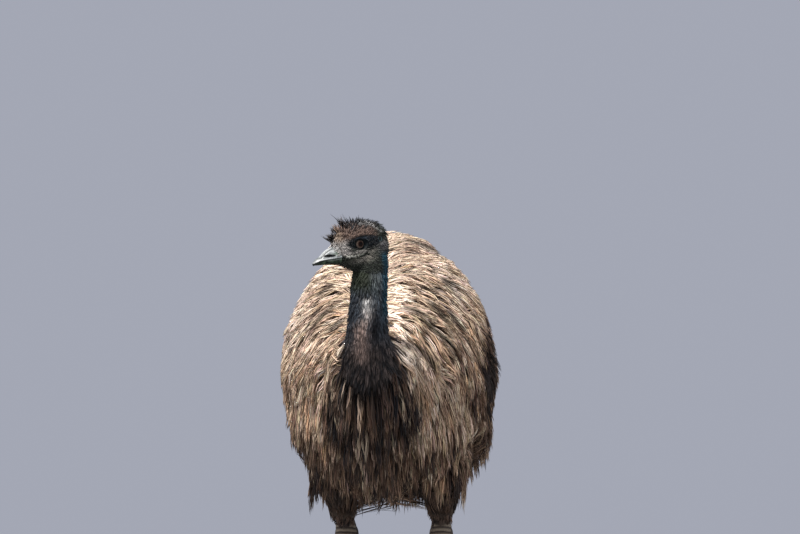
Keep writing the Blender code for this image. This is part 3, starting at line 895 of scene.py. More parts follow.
def neck_colour(points, chance=NO_CHANCE):
    """Charcoal, with a pale streak down the front and blue down the left side."""
    _, y, z = points.T
    across = across_breast(points)
    front = smooth(-0.500, -0.530, y)
    grey = np.clip(0.72 + 0.3 * ripple(points, 0.03, 31) + 0.32 * chance[0], 0, 1.2)
    colour = mix(JET, SLATE, grey)
    low = smooth(0.845, 0.79, z)
    shade = mix(JET, MAUVE, np.clip(0.25 + 0.35 * chance[0], 0, 1))
    colour = mix(colour, shade, low * 0.8)
    # Dark olive high on the neck under the head: partly the throat's own tinge, partly painted shadow of
    # the head.
    colour = mix(colour, OLIVE, smooth(0.905, 0.940, z) * smooth(-0.022, -0.036, across))
    fuzz = bump(-0.018, 0.012, across) * bump(0.942, 0.030, z) * front
    colour = mix(colour, ASH * (0.24, 0.29, 0.30), np.clip(fuzz * (0.7 + 0.3 * chance[1]), 0, 1))
    colour = mix(colour, TEAL, smooth(-0.012, -0.002, across) * smooth(0.85, 0.89, z) * 0.8)
    centre = -0.038 - 0.012 * smooth(0.875, 0.845, z)
    width = 0.0090 + 0.0040 * smooth(0.88, 0.83, z)
    streak = bump(centre, width, across) * smooth(0.912, 0.898, z) * smooth(0.768, 0.782, z) * front
    streak = np.clip(streak * (1.10 + 0.45 * chance[1]) * (1 - 0.20 * low), 0, 0.97)
    pale = mix(ASH * 1.25, MAUVE * 1.6, smooth(0.900, 0.840, z))
    colour = mix(colour, pale, streak)
    band = bump(-0.0245, 0.0055, across) * bump(0.842, 0.028, z) * front
    return mix(colour, JET, band)


# The face, as colours of pale and dark strands.
FACE_PALE, FACE_DARK = srgb(126, 104, 93), srgb(44, 37, 35)
LORES_PALE, LORES_DARK = srgb(184, 178, 173), srgb(60, 56, 54)
CHEEK_PALE, THROAT_PALE = srgb(200, 192, 180), srgb(58, 63, 55)


def gape_height(back):
    """Height of the corner line of the mouth, behind the bill."""
    return -0.0014 * bump(0.088, 0.016, back) + 0.0016 * smooth(0.098, 0.122, back)


def head_colour(points, chance=NO_CHANCE):
    left, back, up = in_head(points).T

    def streaked(pale, dark, share):
        return mix(dark, pale, np.clip(share + 0.33 * chance[0], 0, 1))

    colour = streaked(THROAT_PALE, JET, 0.52)
    brow = smooth(0.030, 0.040, up) * smooth(0.068, 0.058, up) * smooth(0.158, 0.135, back)
    front = smooth(0.090, 0.078, back) * smooth(0.020, 0.030, up)
    colour = mix(colour, streaked(FACE_PALE, FACE_DARK, 0.50), np.maximum(brow, front))
    stripe = smooth(0.072, 0.064, back) * smooth(0.060, 0.045, up) * smooth(0.004, 0.012, up)
    colour = mix(colour, streaked(STRAW * 0.8, FACE_DARK, 0.6), stripe * 0.7)
    lores = smooth(0.088, 0.074, back) * smooth(0.040, 0.026, up) * smooth(-0.001, 0.003, up)
    colour = mix(colour, streaked(LORES_PALE, LORES_DARK, 0.55), lores)
    under = bump(0.100, 0.018, back) * bump(0.0065, 0.0035, up)
    colour = mix(colour, streaked(LORES_PALE, LORES_DARK, 0.50), under * 0.75)
    cheek = bump(0.103, 0.020, back) * bump(-0.007, 0.008, up)
    corner = bump(0.128, 0.014, back) * bump(0.004 + 0.3 * (back - 0.128), 0.0035, up)
    colour = mix(colour, streaked(CHEEK_PALE, FACE_DARK, 0.58), np.maximum(cheek, 0.5 * corner) * 0.9)
    jaw = bump(-0.0050, 0.0032, up - gape_height(back)) * smooth(0.112, 0.096, back)
    colour = mix(colour, streaked(OLIVE * 1.8, JET, 0.55), jaw * 0.7)
    fan = bump(0.160, 0.016, back) * bump(0.012, 0.012, up)
    colour = mix(colour, streaked(ASH * (0.62, 0.60, 0.63), JET, 0.42), fan)
    tuft = smooth(0.003, -0.005, left) * smooth(0.085, 0.078, back) * smooth(0.012, 0.022, up)
    mottle = 0.003 * ripple(points, 0.012, 43)
    crown = smooth(0.050, 0.064, up + mottle + 0.10 * np.clip(back - 0.13, 0, 1))
    colour = mix(colour, streaked(SLATE * 0.7, JET * 0.8, 0.12), np.maximum(crown, tuft * 0.85))
    lock = bump(0.0632, 0.0022, up + 9.5 * (back - 0.114) ** 2) * (left > 0)
    lock = lock * smooth(0.110, 0.118, back) * smooth(0.166, 0.160, back)
    colour = mix(colour, ASH * 0.8, lock * 0.85)
    nape = smooth(0.140, 0.154, back) * smooth(0.004, -0.012, up)
    colour = mix(colour, streaked(TEAL * 1.3, TEAL * 0.5, 0.55), nape * (left > 0))
    return mix(colour, streaked(SLATE * 0.4, JET * 0.8, 0.30), bareness(points) * 0.95)


def new_material(name, roughness, specular=0.3):
    material = bpy.data.materials.new(name)
    material.use_nodes = True
    shader = material.node_tree.nodes["Principled BSDF"]
    shader.inputs["Roughness"].default_value = roughness
    shader.inputs["Specular IOR Level"].default_value = specular
    return material, material.node_tree, shader


def add_node(tree, kind, **settings):
    node = tree.nodes.new(kind)
    for name, value in settings.items():
        setattr(node, name, value)
    return node


def noise(tree, scale, detail=3.0, stretch=(1, 1, 1)):
    """A fine pattern that stands still on the bird."""
    place = add_node(tree, "ShaderNodeTexCoord")
    mapping = add_node(tree, "ShaderNodeMapping")
    mapping.inputs["Scale"].default_value = stretch
    pattern = add_node(tree, "ShaderNodeTexNoise")
    pattern.inputs["Scale"].default_value = scale
    pattern.inputs["Detail"].default_value = detail
    tree.links.new(place.outputs["Object"], mapping.inputs["Vector"])
    tree.links.new(mapping.outputs["Vector"], pattern.inputs["Vector"])
    return pattern.outputs["Fac"]


def remap(tree, value, low, high, to_low, to_high):
    node = add_node(tree, "ShaderNodeMapRange")
    for name, number in zip(
        ("From Min", "From Max", "To Min", "To Max"), (low, high, to_low, to_high)
    ):
        node.inputs[name].default_value = number
    tree.links.new(value, node.inputs["Value"])
    return node.outputs["Result"]


def multiplied(tree, colour, value):
    """A colour made lighter or darker by a value."""
    node = add_node(tree, "ShaderNodeVectorMath", operation="SCALE")
    tree.links.new(colour, node.inputs[0])
    tree.links.new(value, node.inputs["Scale"])
    return node.outputs["Vector"]


def raised(tree, shader, height, distance, strength=1.0):
    node = add_node(tree, "ShaderNodeBump")
    node.inputs["Strength"].default_value = strength
    node.inputs["Distance"].default_value = distance
    tree.links.new(height, node.inputs["Height"])
    tree.links.new(node.outputs["Normal"], shader.inputs["Normal"])


def painted_material(name, roughness, specular, grain, contrast, relief):
    """A surface that shows its painted tint, with a fine grain in its tone and height."""
    material, tree, shader = new_material(name, roughness, specular)
    tint = add_node(tree, "ShaderNodeAttribute", attribute_name="tint")
    pattern = noise(tree, grain)
    tone = remap(tree, pattern, 0.3, 0.7, 1 - contrast, 1 + contrast)
    colour = multiplied(tree, tint.outputs["Color"], tone)
    tree.links.new(colour, shader.inputs["Base Color"])
    if relief:
        raised(tree, shader, pattern, relief)
    return material


def make_camera():
    azimuth = CAMERA_AZIMUTH
    right = Vector((math.cos(azimuth), math.sin(azimuth), 0))
    place = Vector((math.sin(azimuth), -math.cos(azimuth), 0)) * CAMERA_DISTANCE
    place.z = CAMERA_HEIGHT
    aim = Vector((0, 0, AIM_HEIGHT)) + right * AIM_RIGHT
    data = bpy.data.cameras.new("camera")
    data.sensor_width = SENSOR_WIDTH
    data.lens = SENSOR_WIDTH * CAMERA_DISTANCE / (PHOTO_WIDTH * PIXEL_SIZE)
    data.clip_end = 200
    camera = bpy.data.objects.new("camera", data)
    camera.location = place
    camera.rotation_euler = (aim - place).to_track_quat("-Z", "Y").to_euler()
    bpy.context.scene.collection.objects.link(camera)
    bpy.context.scene.camera = camera


def add_lamp(name, place, strength, width, colour):
    """A far, broad lamp, whose light is the same all over the floor. Its width is in degrees."""
    data = bpy.data.lights.new(name, "SUN")
    data.energy = strength
    data.angle = math.radians(width)
    data.color = colour
    lamp = bpy.data.objects.new(name, data)
    lamp.location = place
    lamp.rotation_euler = (-Vector(place)).to_track_quat("-Z", "Y").to_euler()
    bpy.context.scene.collection.objects.link(lamp)
    return lamp


BACKDROP = srgb(176, 180, 194)
FLOOR_TONE = 0.165


def make_studio():
    """A pale floor, a pale even backdrop and soft lamps."""
    bpy.context.scene.view_settings.view_transform = "Standard"
    world = bpy.data.worlds.new("studio")
    world.use_nodes = True
    background = world.node_tree.nodes["Background"]
    background.inputs["Color"].default_value = (*BACKDROP, 1)
    bpy.context.scene.world = world
    background.inputs["Strength"].default_value = 0.85
    add_lamp("key", (-1.7, -3.5, 7.0), 6.6, 7, (1.0, 0.97, 0.93))
    add_lamp("fill", (3.5, -6.0, 2.5), 1.6, 50, (0.94, 0.97, 1.0)).visible_glossy = False
    add_lamp("side", (-6.5, -1.5, 1.6), 1.6, 50, (0.98, 0.98, 1.0)).visible_glossy = False
    add_lamp("back", (2.5, 5.0, 4.5), 1.4, 25, (1.0, 0.99, 0.97)).visible_glossy = False

    bm = bmesh.new()
    bmesh.ops.create_circle(bm, cap_ends=True, segments=96, radius=FLOOR_RADIUS)
    mesh = bpy.data.meshes.new("floor")
    bm.to_mesh(mesh)
    bm.free()
    floor = bpy.data.objects.new("floor", mesh)
    bpy.context.scene.collection.objects.link(floor)
    material, _, shader = new_material("floor", 0.8)
    shader.inputs["Base Color"].default_value = (FLOOR_TONE, FLOOR_TONE, FLOOR_TONE, 1)
    mesh.materials.append(material)


def keep_all(points):
    return np.ones(len(points))


def never(points, normals):
    return np.zeros(len(points))


HANG_BODY = unit(np.array((0.0, 0.25, -1.0)))
# The share of locks that stand off the rest, and the long dark wisp that hangs off the left flank.
STRAY_SHARE = 0.05
WISP_ROOT, WISP_SIZE, WISP_LENGTH = np.array((0.211, 0.040, 0.803)), 0.0135, 0.082
WISP_WAY = unit(np.array((0.50, -0.05, -1.0)))
WISP_GIRTH, WISP_SHADE = 0.45, 0.30


def body_loosen(points, normals):
    """Plumes leave the skin where it turns under the body."""
    return smooth(-0.05, -0.55, normals[:, 2]) * smooth(0.80, 0.74, points[:, 2])


def body_regions(roots):
    """The pieces of the body's coat: left and right, from the breast to the tail."""
    x, y, _ = roots.T
    bounds = {"breast": (-9, -0.20), "shoulder": (-0.20, 0.06), "flank": (0.06, 0.32), "tail": (0.32, 9)}
    for part, (near, far) in bounds.items():
        for side_name, side in SIDES.items():
            yield f"plumage_{part}_{side_name}", (y >= near) & (y < far) & (side * x >= 0)


def make_body_coat(surface, material, rng):
    def spacing(points):
        _, y, z = points.T
        parting = bump(0, 0.030, from_parting(points)) * smooth(0.15, 0.0, y) * smooth(0.78, 0.84, z)
        return 0.0124 * (1 - 0.45 * parting)

    def keep(points):
        up_neck, _ = NECK.place(points)
        on_neck = smooth(1.6, 1.9, up_neck) * neck_side(points)
        on_thigh = smooth(0.560, 0.545, points[:, 2]) * (np.abs(points[:, 0]) > 0.03)
        return (1 - on_neck) * (1 - on_thigh)

    roots = surface.scatter(spacing, keep, rng)
    lengths = 0.098 * rng.uniform(0.65, 1.3, len(roots))
    lengths *= 1 - 0.40 * smooth(-0.30, -0.45, roots[:, 1]) * smooth(0.78, 0.84, roots[:, 2])
    bends = random_bends(rng, len(roots), 0.17, 0.34)
    bends[0] *= 1 + bump(0, 0.035, from_parting(roots))
    curls = bump(0.030, 0.030, across_breast(roots)) * bump(0.955, 0.035, roots[:, 2])
    bends[1] *= 1 + 1.3 * curls * smooth(0.10, 0.02, roots[:, 1])
    stray = 0.22 * (rng.random(len(roots)) < STRAY_SHARE)
    wisp = np.linalg.norm(roots - WISP_ROOT, axis=1) < WISP_SIZE
    lengths = np.where(wisp, WISP_LENGTH * rng.uniform(0.7, 1.0, len(roots)), lengths)
    stray = np.maximum(stray, 0.96 * wisp)
    hang = np.where(wisp[:, None], WISP_WAY, HANG_BODY)

    def loosen(points, normals):
        return np.maximum(body_loosen(points, normals), stray)

    lines, outs = trace(surface, roots, body_flow, lengths, 10, loosen, hang, bends)
    depth = BODY_STYLE.depth * (1 + 0.6 * clump(lines[:, 4]))
    girth = np.where(wisp, WISP_GIRTH, 1)
    points, owner = strands(lines, outs, BODY_STYLE, rng, depth, girth)
    colours = body_colour(lines[:, 6][owner], chances(rng, owner, 3))
    colours *= rng.lognormal(0, 0.17, len(owner))[:, None] * rng.lognormal(0, 0.04, (len(owner), 3))
    colours *= np.where(wisp, WISP_SHADE, 1)[owner][:, None]
    places = unwrap(roots, np.array((0, 0, 0.70)), (0, 1, 0), (0, 0, 1))[owner]
    starts = roots[owner]
    print("BODY", len(roots), len(points), "strands", len(points) * 28)
    flat = points.reshape(-1, 3)
    # Painted shade in the gaps between locks and painted light on the creamy down.
    tones = (1 - GAP_SHADE * gaps(flat)) * (1 + DOWN_PAINTED_LIGHT * down(flat))
    cream = clump(flat).reshape(len(points), -1, 1)
    paler = 1 + CLUMP_CREAM * cream * (np.clip(CREAM / colours[:, None], 0, 4) - 1)
    tones = tones.reshape(len(points), -1, 1) * paler
    for name, mask in body_regions(starts):
        coat_piece(
            name, points[mask], colours[mask], places[mask], BODY_STYLE, material, tones[mask]
        )


def make_neck_coat(surfaces, material, rng):
    """Short soft feathers down the neck, longer where it runs into the breast."""
    body_surface, head_surface = surfaces

    def spacing(points):
        up_neck, _ = NECK.place(points)
        return 0.0085 - 0.0040 * smooth(1.5, 2.6, up_neck)

    def low(points):
        up_neck, _ = NECK.place(points)
        left = across_breast(points) > COLLAR_CENTRE
        clear = CLUMP_CLEAR * left * smooth(0.835, 0.805, points[:, 2])
        edge = np.maximum(collar_edge(points) - clear, 0.02 * (points[:, 2] > 0.835))
        inside = smooth(-0.004, 0.004, edge) * neck_side(points)
        return smooth(1.35, 1.5, up_neck) * (up_neck < 2.62) * inside

    def high(points):
        up_neck, _ = NECK.place(points)
        return (up_neck >= 2.45) * (points[:, 2] < 0.972)

    for name, surface, keep in (
        ("neck_feathers_lower", body_surface, low), ("neck_feathers_upper", head_surface, high)
    ):
        roots = surface.scatter(spacing, keep, rng)
        up_neck, _ = NECK.place(roots)
        full = smooth(2.5, 1.5, up_neck)
        lengths = (0.024 + 0.040 * full) * rng.uniform(0.75, 1.25, len(roots))
        lines, outs = trace(surface, roots, neck_flow, lengths, 7, never, UP)
        points, owner = strands(
            lines, outs, NECK_STYLE, rng, NECK_COAT + 0.007 * full, 1 + 0.7 * full
        )
        colours = neck_colour(lines[:, 4][owner], chances(rng, owner, 3))
        colours *= rng.lognormal(0, 0.22, len(owner))[:, None]
        places = unwrap(roots, NECK.line[20], (0, 0, 1), (0, -1, 0))[owner]
        print("COAT", name, len(roots), len(points) * 16)
        coat_piece(name, points, colours, places, NECK_STYLE, material)


EAR_PLACE = np.array((0.0292, 0.1570, 0.0270))
EAR_CLEAR, EYE_CLEAR = 0.0062, 0.0165


def bareness(points):
    """1 on the bare skin round the eye and behind it."""
    _, back, up = in_head(points).T
    patch = ((back - 0.113) / 0.038) ** 2 + ((up - 0.0260) / 0.0140) ** 2
    return smooth(1.30, 0.75, patch)


def head_flow(points, normals):
    """Up over the brow, back over the head, and down over cheek and throat."""
    _, back, up = in_head(points).T
    rise = 0.10 + 1.1 * smooth(0.098, 0.068, back) * smooth(0.012, 0.034, up)
    rise += 0.55 * bump(0.048, 0.014, up) * smooth(0.150, 0.110, back)
    down = smooth(0.000, -0.022, up) * 0.9 * smooth(0.085, 0.120, back)
    down += smooth(0.140, 0.175, back) * 1.2
    flow = HEAD_AXES[1][None] + HEAD_AXES[2][None] * rise[:, None] - UP * down[:, None]
    sway = ripple(points, 0.025, 41) * 0.38 + ripple(points, 0.010, 42) * 0.34
    flow = flow + np.cross(normals, flow) * sway[:, None]
    return unit(tangent(flow, normals))


def make_head_coat(surface, material, rng):
    """Bristles of the head: short on the face, long and upright on forehead and crown."""

    def spacing(points):
        return np.full(len(points), 0.0026)

    def keep(points):
        _, back, up = in_head(points).T
        on_head = (points[:, 2] >= 0.966) * smooth(HEAD_FRONT - 0.001, HEAD_FRONT + 0.001, back)
        gape = (np.abs(up - gape_height(back)) < 0.0022) * (back < 0.118)
        ear = (back - EAR_PLACE[1]) ** 2 + (up - EAR_PLACE[2]) ** 2 < EAR_CLEAR**2
        eye = (back - EYE_PLACE[1]) ** 2 + (up - EYE_PLACE[2]) ** 2 < EYE_CLEAR**2
        return on_head * (1 - 0.72 * bareness(points)) * ~gape * ~ear * ~eye

    roots = surface.scatter(spacing, keep, rng)
    _, normals = surface.nearest(roots)
    left, back, up = in_head(roots).T
    crown = smooth(0.052, 0.062, up + 0.16 * np.clip(back - 0.130, 0, 1))
    front = smooth(0.094, 0.070, back) * smooth(0.026, 0.040, up)
    brow = smooth(0.032, 0.042, up)
    nape = smooth(0.145, 0.175, back)
    lengths = 0.0070 + 0.0035 * brow + 0.0080 * nape
    lengths = np.maximum(lengths, (0.0110 + 0.0100 * smooth(0.105, 0.080, back)) * crown)
    far = smooth(-0.002, -0.007, left)
    lean = smooth(0.108, 0.086, back) * smooth(0.040, 0.052, up)
    tuft = far * smooth(0.088, 0.076, back) * bump(0.034, 0.015, up)
    hind = crown * smooth(0.125, 0.145, back)
    lengths = np.maximum.reduce((lengths, 0.0120 * front, 0.0290 * lean, 0.0245 * tuft, 0.0160 * hind))
    lengths *= rng.uniform(0.6, 1.35, len(roots))
    lengths *= 1 + 0.5 * (rng.random(len(roots)) < 0.08)
    ahead = 0.15 * front + 0.95 * lean + 2.1 * tuft - 1.1 * smooth(0.105, 0.150, back)
    ahead += rng.normal(0, 0.20, len(roots))
    stand = normals * 0.55 + HEAD_AXES[2] - HEAD_AXES[1] * ahead[:, None]
    stand = unit(stand + rng.normal(0, 0.16, roots.shape))
    loose = np.maximum.reduce((crown * 0.95 - hind * 0.65, front * 0.85, tuft * 0.9, 0.25 * brow))

    def loosen(near, out):
        return loose

    lines, outs = trace(surface, roots, head_flow, lengths, 4, loosen, stand)
    standing = np.maximum.reduce((crown - hind, front, tuft))
    depth = FACE_COAT * (1.05 + 0.8 * nape + 0.3 * brow) * (1 - 0.8 * standing) + 0.0045 * hind
    points, owner = strands(lines, outs, HEAD_STYLE, rng, depth)
    shown = np.where(loose[:, None] > 0.3, roots, lines[:, 2])
    colours = head_colour(shown[owner], chances(rng, owner, 2))
    colours *= rng.lognormal(0, 0.20, len(owner))[:, None]
    places = unwrap(roots, from_head((0, 0.115, 0.02)), HEAD_AXES[1], HEAD_AXES[2])[owner]
    near_side = left[owner] >= 0
    print("COAT head", len(roots), len(points) * 10)
    for name, mask in (("head_feathers_left", near_side), ("head_feathers_right", ~near_side)):
        coat_piece(name, points[mask], colours[mask], places[mask], HEAD_STYLE, material)


# The stiff pale bristles that lie over the root of the bill: how far ahead they start.
BILL_BRISTLES_START, BILL_BRISTLES_FULL = 0.040, 0.054


def make_bill_bristles(surface, material, rng):
    def spacing(points):
        return np.full(len(points), 0.0024)

    def keep(points):
        _, back, up = in_head(points).T
        over = up - mouth_height(back)
        start = BILL_BRISTLES_START + 0.010 * bump(0.009, 0.006, over)
        grown = smooth(start, BILL_BRISTLES_FULL, back) * smooth(0.0595, 0.0585, back)
        return grown * smooth(0.0045, 0.0065, over)

    roots = surface.scatter(spacing, keep, rng)
    _, back, up = in_head(roots).T
    high = smooth(0.018, 0.026, up)
    lengths = (0.0080 + 0.0060 * high) * rng.uniform(0.7, 1.3, len(roots))
    _, normals = surface.nearest(roots)
    stand = unit(normals * 0.5 + HEAD_AXES[2] + HEAD_AXES[1] * rng.normal(0.2, 0.25, len(roots))[:, None])

    def loosen(near, out):
        return high * 0.8

    lines, outs = trace(surface, roots, head_flow, lengths, 4, loosen, stand)
    points, owner = strands(lines, outs, HEAD_STYLE, rng, np.full(len(roots), FACE_COAT * 0.7))
    tone = np.clip(0.62 + 0.30 * rng.normal(size=len(roots)) - 0.35 * high, 0, 1)
    colours = mix(LORES_DARK, LORES_PALE, tone)[owner] * rng.lognormal(0, 0.18, len(owner))[:, None]
    places = unwrap(roots, from_head((0, 0.05, 0.01)), HEAD_AXES[1], HEAD_AXES[2])[owner]
    coat_piece("bill_bristles", points, colours, places, HEAD_STYLE, material)


def make_thigh_coat(surface, material, rng):
    def spacing(points):
        return np.full(len(points), 0.0130)

    def keep(points):
        return smooth(0.585, 0.565, points[:, 2]) * (np.abs(points[:, 0]) > 0.045)

    roots = surface.scatter(spacing, keep, rng)
    lengths = (0.075 - 0.035 * smooth(0.52, 0.45, roots[:, 2])) * rng.uniform(0.8, 1.2, len(roots))
    lines, outs = trace(surface, roots, thigh_flow, lengths, 8, thigh_loosen, -UP)
    points, owner = strands(lines, outs, THIGH_STYLE, rng)
    tone = np.clip(0.35 + 0.2 * rng.normal(size=len(roots)), 0, 1)
    colours = mix(SOOT, UMBER, tone)[owner] * rng.lognormal(0, 0.22, len(owner))[:, None]
    places = unwrap(roots, np.array((0, 0.05, 0.5)), (0, 0, 1), (0, -1, 0))[owner]
    print("COAT thigh", len(roots), len(points) * 28)
    for side_name, side in SIDES.items():
        mask = side * roots[owner][:, 0] > 0
        name = f"plumage_thigh_{side_name}"
        coat_piece(name, points[mask], colours[mask], places[mask], THIGH_STYLE, material)


def thigh_loosen(points, normals):
    """The last feathers of the thigh hang a little clear of the bare leg."""
    return smooth(0.470, 0.445, points[:, 2]) * 0.9


# The bare legs: a row of wide plates down the front of each, and small scales elsewhere.
LEG_PLATE, TOE_PLATE = 0.0098, 0.0062
PLATE_RISE = 0.0008


def limb_axis(node, along, depth=0.012):
    """The two ends of a limb's axis, from the solid's own points at each end of a direction."""
    points, _ = welded(node)
    reach = points @ along
    start = points[reach < reach.min() + depth].mean(axis=0)
    end = points[reach > reach.max() - depth].mean(axis=0)
    return start, end


def plates(points, start, end, front, pitch, half_turn, radius):
    """The rise of overlapping plates on the front of a limb, from 0 to 1, and where they lie."""
    way = unit(end - start)
    length = np.linalg.norm(end - start)
    offset = points - start
    along = offset @ way
    out = offset - along[:, None] * way
    ahead = unit(front - (front @ way) * way)
    side = np.cross(way, ahead)
    turn = np.abs(np.arctan2(out @ side, out @ ahead))
    inside = smooth(radius * 1.15, radius, np.linalg.norm(out, axis=1))
    inside = inside * smooth(-0.004, 0.004, along) * smooth(length + 0.006, length - 0.002, along)
    share = np.mod(along / pitch + 0.10 * turn, 1)
    rise = share**1.5 * smooth(1.0, 0.82, share)
    return rise, inside * smooth(half_turn, half_turn * 0.75, turn)


def leg_relief(points, side):
    """How the plates of one leg raise its skin, from 0 to 1, and where they cover it."""
    top, foot = limb_axis(f"tarsus_{side}", -UP)
    rise, cover = plates(points, top, foot, -np.array((0.0, 1, 0)), LEG_PLATE, 1.35, 0.034)
    sole = foot * (1, 1, 0)
    for toe in TOES:
        low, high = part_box(f"claw_{toe}_{side}")
        claw = np.array((low + high) / 2) * (1, 1, 0) + (0, 0, 0.008)
        toe_rise, toe_cover = plates(points, sole + (0, 0, 0.010), claw, UP, TOE_PLATE, 1.25, 0.022)
        near = toe_cover > cover
        rise = np.where(near, toe_rise, rise)
        cover = np.where(near, toe_cover, cover)
    return rise, cover


LEG_BROWN, LEG_PALE, LEG_DARK = srgb(92, 80, 70), srgb(134, 122, 108), srgb(46, 40, 38)


def leg_colour(points, side):
    rise, cover = leg_relief(points, side)
    tone = 0.5 + 0.3 * ripple(points, 0.05, 51) + 0.2 * ripple(points, 0.015, 52)
    colour = mix(LEG_DARK, LEG_BROWN, np.clip(tone, 0, 1))
    plate = mix(LEG_DARK, LEG_PALE, smooth(0.02, 0.5, rise) * 0.75)
    colour = mix(colour, plate, cover * 0.85)
    return mix(colour, LEG_DARK, smooth(0.006, 0.001, points[:, 2]) * 0.6)


# The bill in its own directions: places back from the tip and up from the mouth.
NOSTRIL_BACK, NOSTRIL_UP, NOSTRIL_HALF_LENGTH, NOSTRIL_HALF_HEIGHT = 0.0348, 0.0065, 0.0128, 0.0043
MOUTH_BEND, MOUTH_DIP = 0.034, 0.0062
# The pale horn ends along a line that drops less towards the tip, over a dark cutting edge, which is partly
# painted shadow under the edge of the bill.
HORN_BEND, HORN_DIP = 0.0130, 0.0042
BILL_PALE, BILL_GREY, BILL_DARK = srgb(158, 160, 160), srgb(80, 84, 84), srgb(14, 17, 20)
BILL_OLIVE = srgb(62, 74, 60)


def mouth_height(back):
    return -MOUTH_DIP * np.clip(1 - back / MOUTH_BEND, 0, 1) ** 2


def nostril(points):
    """1 inside the long slit of the nostril, which is arched above and nearly flat below."""
    left, back, up = in_head(points).T
    along = (back - NOSTRIL_BACK) / NOSTRIL_HALF_LENGTH
    over = up - NOSTRIL_UP + 0.0007 * along
    height = np.where(over > 0, 1.0 - 0.25 * along, 0.35) * NOSTRIL_HALF_HEIGHT
    inside = np.abs(along) ** 1.5 + (over / height) ** 2
    return smooth(1.25, 0.65, inside) * (np.abs(left) > 0.004)


def below_ridge(points):
    """How far each point of the upper bill lies below its ridge."""
    _, back, up = in_head(points).T
    steps = np.linspace(0.008, 0.056, 25)
    tops = [up[np.abs(back - step) < 0.0015].max() for step in steps]
    return np.interp(back, steps, tops) - up


def bill_groove(back, drop):
    """1 in the groove that runs along each side of the ridge, down to the end of the nail."""
    return bump(GROOVE_DROP, 0.0008, drop) * smooth(0.015, 0.019, back) * smooth(0.052, 0.046, back)


def bill_relief(points, drop):
    """How far the horn of the upper bill stands out or in at each point."""
    left, back, up = in_head(points).T
    over = up - mouth_height(back)
    fossa = bump(0.036, 0.014, back) * bump(0.0100, 0.0045, over)
    ridge = bump(GROOVE_DROP + 0.0022, 0.0009, drop) * smooth(0.016, 0.022, back)
    ridge = ridge * smooth(0.046, 0.036, back)
    rim = bump(0.0020, 0.0013, over)
    form = 0.0005 * ridge - 0.0010 * fossa + 0.0006 * rim - 0.0009 * bill_groove(back, drop)
    return form - 0.0026 * nostril(points)


# How far below the ridge of the bill the groove beside it runs.
GROOVE_DROP = 0.0031


def make_bill(material, under_material):
    upper = remeshed("bill_upper_form", [rounded("bill_upper", 3)], BILL_VOXEL)
    relax(upper, 4)
    points = points_of(upper)
    drop = below_ridge(points)
    points = points + normals_of(upper) * bill_relief(points, drop)[:, None]
    put_points(upper, points)
    left, back, up = in_head(points).T
    over = up - mouth_height(back)
    ridge = smooth(0.0022, 0.0010, drop) * smooth(0.014, 0.018, back)
    band = bump(GROOVE_DROP + 0.0022, 0.0010, drop) * smooth(0.016, 0.020, back)
    band = band * smooth(0.046, 0.036, back)
    speckle = 0.16 * ripple(points, 0.010, 61) + 0.14 * ripple(points, 0.0035, 63)
    # The ridge and the raised band beside the groove are paler horn, partly a painted highlight along their
    # tops.
    tone = np.maximum(ridge * 0.62, band * 0.80) + speckle
    colour = mix(BILL_GREY, BILL_PALE, np.clip(0.12 + tone, 0, 1.2))
    shadow = bump(0.051, 0.009, back) * bump(0.0105, 0.0050, over)
    colour = mix(colour, BILL_OLIVE, shadow * 0.9)
    # Painted shade in the groove beside the ridge.
    colour = mix(colour, BILL_GREY * 0.16, bill_groove(back, drop) * 0.95)
    nail = smooth(0.017, 0.014, back)
    colour = mix(colour, mix(BILL_GREY, BILL_PALE, np.clip(0.22 + speckle, 0, 1)), nail)
    smooth_patch = bump(0.044, 0.005, back) * bump(0.0155, 0.0035, up)
    spot = bump(0.0480, 0.0012, back) * bump(0.0068, 0.0012, up)
    colour = mix(colour, BILL_PALE * 1.2, np.maximum(smooth_patch * 0.5, spot))
    line = up + HORN_DIP * np.clip(1 - back / HORN_BEND, 0, 1) ** 1.5
    # A painted highlight along the raised rim above the cutting edge, fading towards the back and dimmer on
    # the nail.
    edge = bump(0.0018, 0.0011, line) * (0.85 - 0.60 * smooth(0.034, 0.050, back))
    colour = mix(colour, BILL_PALE * (1.15 - 0.45 * nail)[:, None], edge)
    # Below the line the horn is painted dark: the dark cutting edge, with painted shadow under the bill's
    # edge.
    colour = mix(colour, BILL_DARK, smooth(0.0007, -0.0003, line) * 0.95)
    # Painted shade inside the nostril.
    colour = mix(colour, BILL_DARK * 0.12, nostril(points))
    paint(upper, "tint", colour)
    show("upper_bill", upper, material, ["bill_upper"])

    lower = remeshed("bill_lower_form", [rounded("bill_lower", 3)], BILL_VOXEL)
    relax(lower, 3)
    points = points_of(lower)
    left, back, up = in_head(points).T
    over = up - mouth_height(back)
    line = bump(-0.0026, 0.0010, over) * smooth(0.024, 0.034, back)
    ahead = 0.0065 * smooth(0.020, 0.006, back)
    put_points(lower, points + normals_of(lower) * (0.0004 * line)[:, None] - HEAD_AXES[1] * ahead[:, None])
    # Darker towards the underside of the lower bill: partly darker horn, partly painted shade under the
    # bill.
    tone = np.clip(0.60 + 0.40 * ripple(points, 0.010, 62) - 60 * np.clip(-0.004 - over, 0, 1), 0, 1)
    colour = mix(BILL_DARK, BILL_OLIVE, tone)
    paint(lower, "tint", mix(colour, BILL_PALE, line * 0.22))
    show("lower_bill", lower, under_material, ["bill_lower"])
    return Surface(upper)


# The eye looks out of the side of the head and a little ahead. Angles are from the line of sight.
GAZE_AHEAD = -0.03
PUPIL, IRIS = math.radians(15), math.radians(47)
LID_WIDE, LID_HIGH, LID_LOW = math.radians(50), math.radians(37), math.radians(45)
